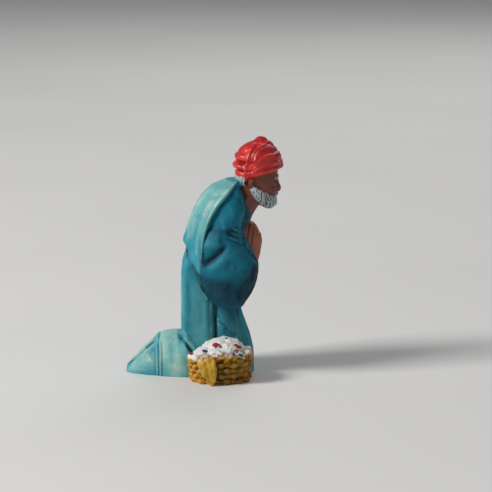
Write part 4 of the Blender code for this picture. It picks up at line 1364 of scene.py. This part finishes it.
class SHEPHERD_OT_hands(bpy.types.Operator):
    """Models the hands, laid together in prayer"""

    bl_idname = "shepherd.hands"
    bl_label = "Hands"

    def execute(self, context):
        sizes, paints = chosen(context)
        forms = [upright(HAND, 2.1, side) for side in (1, -1)] + both(THUMB)
        hands = moulded("hands", forms, sizes.detail_cell, HAND_FOLDS, (0.03, 0.8, 9))
        note_relief(hands, far=30)
        note_strokes(hands, blush=[], brow=[])
        finish_piece(hands, flesh_acrylic(paints.skin))
        return {"FINISHED"}


class SHEPHERD_OT_head(bpy.types.Operator):
    """Models the neck and a calm, plain face with half-closed eyes"""

    bl_idname = "shepherd.head"
    bl_label = "Head"

    def execute(self, context):
        sizes, paints = chosen(context)
        forms = [upright(HEAD, 2.1), bar(NECK, steps=10), bar(NOSE), *both(BROW), *both(EAR)]
        for side in (1, -1):
            forms += [egg(NOSTRIL, side), egg(CHEEK, side)]
        forms += [egg(UPPER_LIP), egg(LOWER_LIP)]
        head = fused("head", forms, sizes.detail_cell)
        soften(head)
        carve(head, FACE_LINES + EAR_FOLDS)
        lids = joined("lids", [bar(lid, side) for lid in LIDS for side in (1, -1)])
        head = fused("head", [head, lids], sizes.detail_cell)
        soften(head, 1)
        note_relief(head, far=30)
        note_strokes(head, brow=BROW_PAINT, blush=BLUSH)
        shaded = [part * share for part, share in zip(paints.skin, FACE_PAINTED_SHADE)]
        finish_piece(head, flesh_acrylic(shaded))

        eyes = joined("eyes", [egg(EYE, side) for side in (1, -1)])
        apply_modifier(eyes, "SUBSURF", levels=1, render_levels=1)
        carve(eyes, EYEBALL_RIDGES)
        mesh, points, _ = surface_of(eyes)
        aside, up, radius = IRIS
        away = np.hypot(np.abs(points[:, 1]) - aside, points[:, 2] - up)
        note(mesh, "iris", np.clip(1 - away / radius, 0, 1))
        finish_piece(eyes, eye_enamel())
        return {"FINISHED"}


class SHEPHERD_OT_hair(bpy.types.Operator):
    """Models the beard, the moustache and the hair at the nape, lock by lock"""

    bl_idname = "shepherd.hair"
    bl_label = "Beard and hair"

    def execute(self, context):
        sizes, paints = chosen(context)
        strand, cell, grey = sizes.strand, 0.75 * sizes.detail_cell, dry_brushed_and_shaded_grey(paints.grey)
        forms = both([(x, y, z, BEARD_BODY * radius) for x, y, z, radius in BEARD]) + both(MOUSTACHE)
        starts = np.array(MOUSTACHE)[:, :3] + MOUSTACHE_ROOT
        sags = [MOUSTACHE_SAG] * len(starts)
        for side in (1, -1):
            forms += beard_locks(BEARD, 18, strand, side)
            forms += hair_locks(starts, starts + MOUSTACHE_FALL, sags, strand, side)
        self.finish_hair(fused("beard", forms, cell), grey)

        turns = np.radians(np.linspace(180, 122, 12))
        ring = np.column_stack([np.cos(turns), np.sin(turns), 0 * turns])
        starts, ends = (np.array(middle) + ring * (*half, 0) for middle, half in NAPE_RINGS)
        forms = both(NAPE_HAIR)
        for side in (1, -1):
            forms += hair_locks(starts, ends, 0.14 * ring, strand, side)
        self.finish_hair(fused("nape_hair", forms, cell), grey)
        return {"FINISHED"}

    def finish_hair(self, hair, grey):
        soften(hair, 1, 0.4)
        note_relief(hair, near=6, far=30)
        finish_piece(hair, grey)


class SHEPHERD_OT_turban(bpy.types.Operator):
    """Models the turban's wound rolls and the knot on top"""

    bl_idname = "shepherd.turban"
    bl_label = "Turban"

    def execute(self, context):
        sizes, paints = chosen(context)
        dome = joined("dome", [egg(TURBAN_DOME)])
        cut_below(dome, *TURBAN_EDGE)
        forms = [dome, egg(TURBAN_KNOT), egg(TURBAN_TIP)]
        for roll in TURBAN_ROLLS:
            forms += both(on_turban(roll), steps=24)
        turban = fused("turban", forms, sizes.detail_cell)
        soften(turban, 4)
        carve(turban, TURBAN_CREASES)
        soften(turban, 2)
        knead(turban, 0.05, 1.0, 6)
        note_relief(turban)
        finish_piece(turban, red_enamel(paints.red, 1.4 * sizes.wear))
        return {"FINISHED"}


def basket_section(level):
    """Centre and half sizes of the basket at that share of its height."""
    flare = BASKET_FLARE + (1 - BASKET_FLARE) * level
    centre = (*BASKET_PLACE, level * BASKET_HEIGHT)
    return centre, (BASKET_LENGTH / 2 * flare, BASKET_WIDTH / 2 * flare, 1)


def rim_height(forward):
    """The rim's height, which dips towards the basket's rear end, where the heap weighs it down."""
    behind = np.clip((BASKET_PLACE[0] - forward) / (BASKET_LENGTH / 2), 0, 1)
    return BASKET_HEIGHT - RIM_DIP * behind**2


def outer_side(forward):
    """How far to the left the basket's outer side is at that place along it, a number below 0."""
    share = abs(forward - BASKET_PLACE[0]) / (BASKET_LENGTH / 2)
    return BASKET_PLACE[1] - BASKET_WIDTH / 2 * (1 - share**BASKET_SQUARENESS) ** (1 / BASKET_SQUARENESS)


class SHEPHERD_OT_basket(bpy.types.Operator):
    """Models the woven basket, its plaited rim and the cloth corner that hangs over it"""

    bl_idname = "shepherd.basket"
    bl_label = "Basket"

    def execute(self, context):
        sizes, paints = chosen(context)
        rows = round(BASKET_HEIGHT / sizes.rod)
        stakes = 2 * (sizes.stakes // 2)
        sections = [basket_section(level) for level in np.linspace(0, 1, 14 * rows)]
        shell = joined("shell", [drawn_out(sections, BASKET_SQUARENESS, 12 * stakes)])
        self.weave(shell, rows, stakes, sizes.rod)
        forms = [shell] + [self.rim_strand(phase, stakes) for phase in (0, math.pi)]
        basket = fused("basket", forms, 0.9 * sizes.detail_cell)
        soften(basket, 1, 0.4)
        knead(basket, 0.1, 0.8, 21)
        stand(basket)
        thin(basket)
        note_relief(basket, near=6)
        # The olive side, and the painted shade at the foot, by the cloth and under the rim
        note_strokes(basket, deep=BASKET_OLIVE_AND_SHADE, grime=BASKET_PAINTED_SHADE)
        finish_piece(basket, ochre_wicker_with_painted_shade(paints.ochre))
        self.corner_cloth(sizes)
        return {"FINISHED"}

    def weave(self, shell, rows, stakes, rod):
        """Lifts the shell's skin into rows of rods that pass over and under the stakes."""
        points = read_vectors(shell.data, "co")
        away = points[:, :2] - BASKET_PLACE
        angle = np.arctan2(away[:, 1] / BASKET_WIDTH, away[:, 0] / BASKET_LENGTH)
        level = points[:, 2] / BASKET_HEIGHT * rows
        row = np.floor(level)
        rod_round = np.sqrt(np.clip(1 - (2 * (level - row) - 1) ** 2, 0, 1))
        over = np.cos(angle * stakes / 2 + math.pi * row)
        stake = np.exp(-((np.sin(angle * stakes / 2) / 0.35) ** 2))
        rods = ROD_ROUND * rod * rod_round + ROD_SWING * rod * over
        lift = np.maximum(rods, STAKE_PROUD * rod * stake) - WEAVE_SUNK * rod
        lift[level > rows - 0.001] = -WEAVE_SUNK * rod
        points[:, :2] += away / np.linalg.norm(away, axis=1)[:, None] * lift[:, None]
        points[:, 2] *= rim_height(points[:, 0]) / BASKET_HEIGHT
        write_places(shell.data, points)

    def rim_strand(self, phase, stakes):
        """One of the two strands that twist round each other along the rim."""
        centre, half = basket_section(0.95)
        turn = np.linspace(0, 2 * math.pi, 12 * stakes + 1)
        twist = turn * stakes / 2 + phase
        ways = (np.cos(turn), np.sin(turn))
        cos, sin = (np.sign(way) * np.abs(way) ** (2 / BASKET_SQUARENESS) for way in ways)
        out = STRAND_TWIST * np.cos(twist) - STRAND_INSET
        x, y = centre[0] + cos * (half[0] + out), centre[1] + sin * (half[1] + out)
        z = rim_height(x) - STRAND_SINK + STRAND_TWIST * np.sin(twist)
        return bar(np.column_stack([x, y, z, np.full(len(turn), STRAND_RADIUS)]), steps=len(turn))

    def corner_cloth(self, sizes):
        """The cloth's corner: folds that run together from the rim down to a point at the ground."""
        forms = []
        for k, spread in enumerate(CORNER_SPREADS):
            thickness = 1 + 0.18 * math.sin(2.4 * k)
            route = []
            for down, middle, wide, radius in CORNER_FOLD:
                x = middle + spread * wide
                y = outer_side(x) + (0.3 if down == 0 else 0.14 - 0.3 * down)
                z = (rim_height(x) + 0.05) * (1 - down) + 0.04
                route.append((x, y, z, radius * thickness))
            forms.append(bar(route, steps=30))
        cloth = fused("basket_cloth", forms, sizes.detail_cell)
        soften(cloth, 5)
        knead(cloth, 0.1, 0.55, 14)
        cut_below(cloth)
        note_relief(cloth)
        finish_piece(cloth, straw_acrylic())


def camera_place():
    """Where the camera stands, in millimetres."""
    tilt = math.radians(CAMERA_ELEVATION)
    return Vector(CAMERA_TARGET) + CAMERA_DISTANCE * Vector((0, -math.cos(tilt), math.sin(tilt)))


class SHEPHERD_OT_filling(bpy.types.Operator):
    """Models the pale heap in the basket, and the red and blue dots painted on it"""

    bl_idname = "shepherd.filling"
    bl_label = "Filling"

    def execute(self, context):
        sizes, paints = chosen(context)
        heap = fused("filling", self.lumps(), sizes.detail_cell)
        soften(heap, 4)
        knead(heap, 0.16, 0.75, 8)
        knead(heap, 0.06, 0.3, 12)
        note_relief(heap)
        mesh, points, _ = surface_of(heap)
        # Reddish brown at the heap's foot by the rim: partly staining, partly painted shade
        above = points[:, 2] - rim_height(points[:, 0]) + 0.1
        stain_and_shade = np.interp(points[:, 0], STAIN_AND_SHADE_PLACES, STAIN_AND_SHADE_SHARES)
        note(mesh, "grime", np.clip(stain_and_shade * (1 - above / STAIN_AND_SHADE_HEIGHT), 0, 1))
        skin = BVHTree.FromObject(heap, context.evaluated_depsgraph_get())
        finish_piece(heap, chalk_acrylic(paints.white))
        for name, dots, ground, shade in (
            ("red_dots", RED_DOTS, "#a3182b", "#5d0b1a"),
            ("blue_dots", BLUE_DOTS, "#2e3f63", "#141b30"),
        ):
            drops = joined(name, [self.drop(skin, dot) for dot in dots])
            knead(drops, 0.09, 0.45, 17)
            note_relief(drops)
            material = gloss_drop(f"{name}_gloss_enamel", linear(ground), linear(shade))
            finish_piece(drops, material)
        return {"FINISHED"}

    def lumps(self):
        """A few large lumps in the middle and a ring of small ones along the rim."""
        forms = []
        half_length, half_width = BASKET_LENGTH / 2, BASKET_WIDTH / 2
        for across, along, size in LUMPS:
            x, y = BASKET_PLACE[0] + along * half_length, BASKET_PLACE[1] + across * half_width
            long, wide = half_length * LUMP_LENGTH * size, half_width * LUMP_WIDTH * size
            high = HEAP_HEIGHT * size + HEAP_SUNK
            forms.append(egg((x, y, rim_height(x) - HEAP_SUNK, long, wide, high)))
        for k, turn in enumerate(np.linspace(0.2, 2 * math.pi, RIM_LUMPS, endpoint=False)):
            reach = 0.83 + 0.05 * math.sin(5 * k)
            x = BASKET_PLACE[0] + reach * half_length * math.cos(turn)
            y = BASKET_PLACE[1] + (reach - 0.02) * half_width * math.sin(turn)
            long, wide = 0.62 + 0.16 * math.sin(7 * k), 0.6 + 0.1 * math.cos(3 * k)
            high = 0.48 + 0.14 * math.cos(4 * k)
            forms.append(egg((x, y, rim_height(x) - 0.02, long, wide, high)))
        return forms

    def drop(self, skin, dot):
        """A flat oval drop, where the line of sight to that dot meets the heap."""
        forward, up, length, height, tilt = dot
        ahead = (Vector((forward, 0, up)) - camera_place()).normalized()
        place, normal, _, _ = skin.ray_cast(camera_place(), ahead)
        if place is None:
            raise RuntimeError(f"the painted dot at {forward}, {up} misses the heap")
        turn = normal.to_track_quat("Z", "Y") @ Quaternion((0, 0, 1), math.radians(tilt))
        return egg((*place, length, height, 0.07), turn=turn.to_euler())


class SHEPHERD_OT_stage(bpy.types.Operator):
    """Sets the pale floor, the lamps and the camera"""

    bl_idname = "shepherd.stage"
    bl_label = "Stage"

    def execute(self, context):
        scene = context.scene
        bpy.ops.object.select_all(action="DESELECT")
        bpy.ops.mesh.primitive_plane_add(size=2.4)
        floor = context.object
        floor.name = "floor"
        floor.data.materials.append(matt_card())

        target = Vector(CAMERA_TARGET) * MM
        for name, place, width, watts in LAMPS:
            bpy.ops.object.select_all(action="DESELECT")
            bpy.ops.object.light_add(type="AREA", location=place)
            lamp = context.object
            lamp.name = name
            lamp.data.size = width
            lamp.data.energy = watts
            lamp.rotation_euler = (target - lamp.location).to_track_quat("-Z", "Y").to_euler()

        world = bpy.data.worlds.new("pale_room")
        world.use_nodes = True
        room = world.node_tree.nodes["Background"].inputs
        room["Color"].default_value = ROOM_COLOUR
        room["Strength"].default_value = ROOM_LIGHT
        scene.world = world

        place = camera_place() * MM
        bpy.ops.object.select_all(action="DESELECT")
        bpy.ops.object.camera_add(location=place)
        camera = context.object
        camera.name = "camera"
        camera.rotation_euler = (target - place).to_track_quat("-Z", "Y").to_euler()
        camera.data.sensor_width = SENSOR_WIDTH
        camera.data.lens = SENSOR_WIDTH * CAMERA_DISTANCE / VIEW_WIDTH
        camera.data.clip_start = 0.01
        camera.data.clip_end = 10
        scene.camera = camera
        scene.view_settings.view_transform = "Standard"
        return {"FINISHED"}


STEPS = (
    SHEPHERD_OT_robe,
    SHEPHERD_OT_shoes,
    SHEPHERD_OT_cape,
    SHEPHERD_OT_sleeves,
    SHEPHERD_OT_hands,
    SHEPHERD_OT_head,
    SHEPHERD_OT_hair,
    SHEPHERD_OT_turban,
    SHEPHERD_OT_basket,
    SHEPHERD_OT_filling,
    SHEPHERD_OT_stage,
)


class SHEPHERD_PT_panel(bpy.types.Panel):
    """The sizes and colours, then the steps in the order that they are run"""

    bl_idname = "SHEPHERD_PT_panel"
    bl_label = "Shepherd"
    bl_space_type = "VIEW_3D"
    bl_region_type = "UI"
    bl_category = "Shepherd"

    def draw(self, context):
        for settings in (context.scene.shepherd_sizes, context.scene.shepherd_paints):
            box = self.layout.box()
            for name in settings.__annotations__:
                box.prop(settings, name)
        for step in STEPS:
            self.layout.operator(step.bl_idname)


CLASSES = (ShepherdSizes, ShepherdPaints, *STEPS, SHEPHERD_PT_panel)


def register():
    for each in CLASSES:
        bpy.utils.register_class(each)
    bpy.types.Scene.shepherd_sizes = bpy.props.PointerProperty(type=ShepherdSizes)
    bpy.types.Scene.shepherd_paints = bpy.props.PointerProperty(type=ShepherdPaints)


def unregister():
    del bpy.types.Scene.shepherd_paints
    del bpy.types.Scene.shepherd_sizes
    for each in reversed(CLASSES):
        bpy.utils.unregister_class(each)


def main():
    register()
    bpy.ops.shepherd.robe()
    bpy.ops.shepherd.shoes()
    bpy.ops.shepherd.cape()
    bpy.ops.shepherd.sleeves()
    bpy.ops.shepherd.hands()
    bpy.ops.shepherd.head()
    bpy.ops.shepherd.hair()
    bpy.ops.shepherd.turban()
    bpy.ops.shepherd.basket()
    bpy.ops.shepherd.filling()
    bpy.ops.shepherd.stage()


if __name__ == "__main__":
    main()
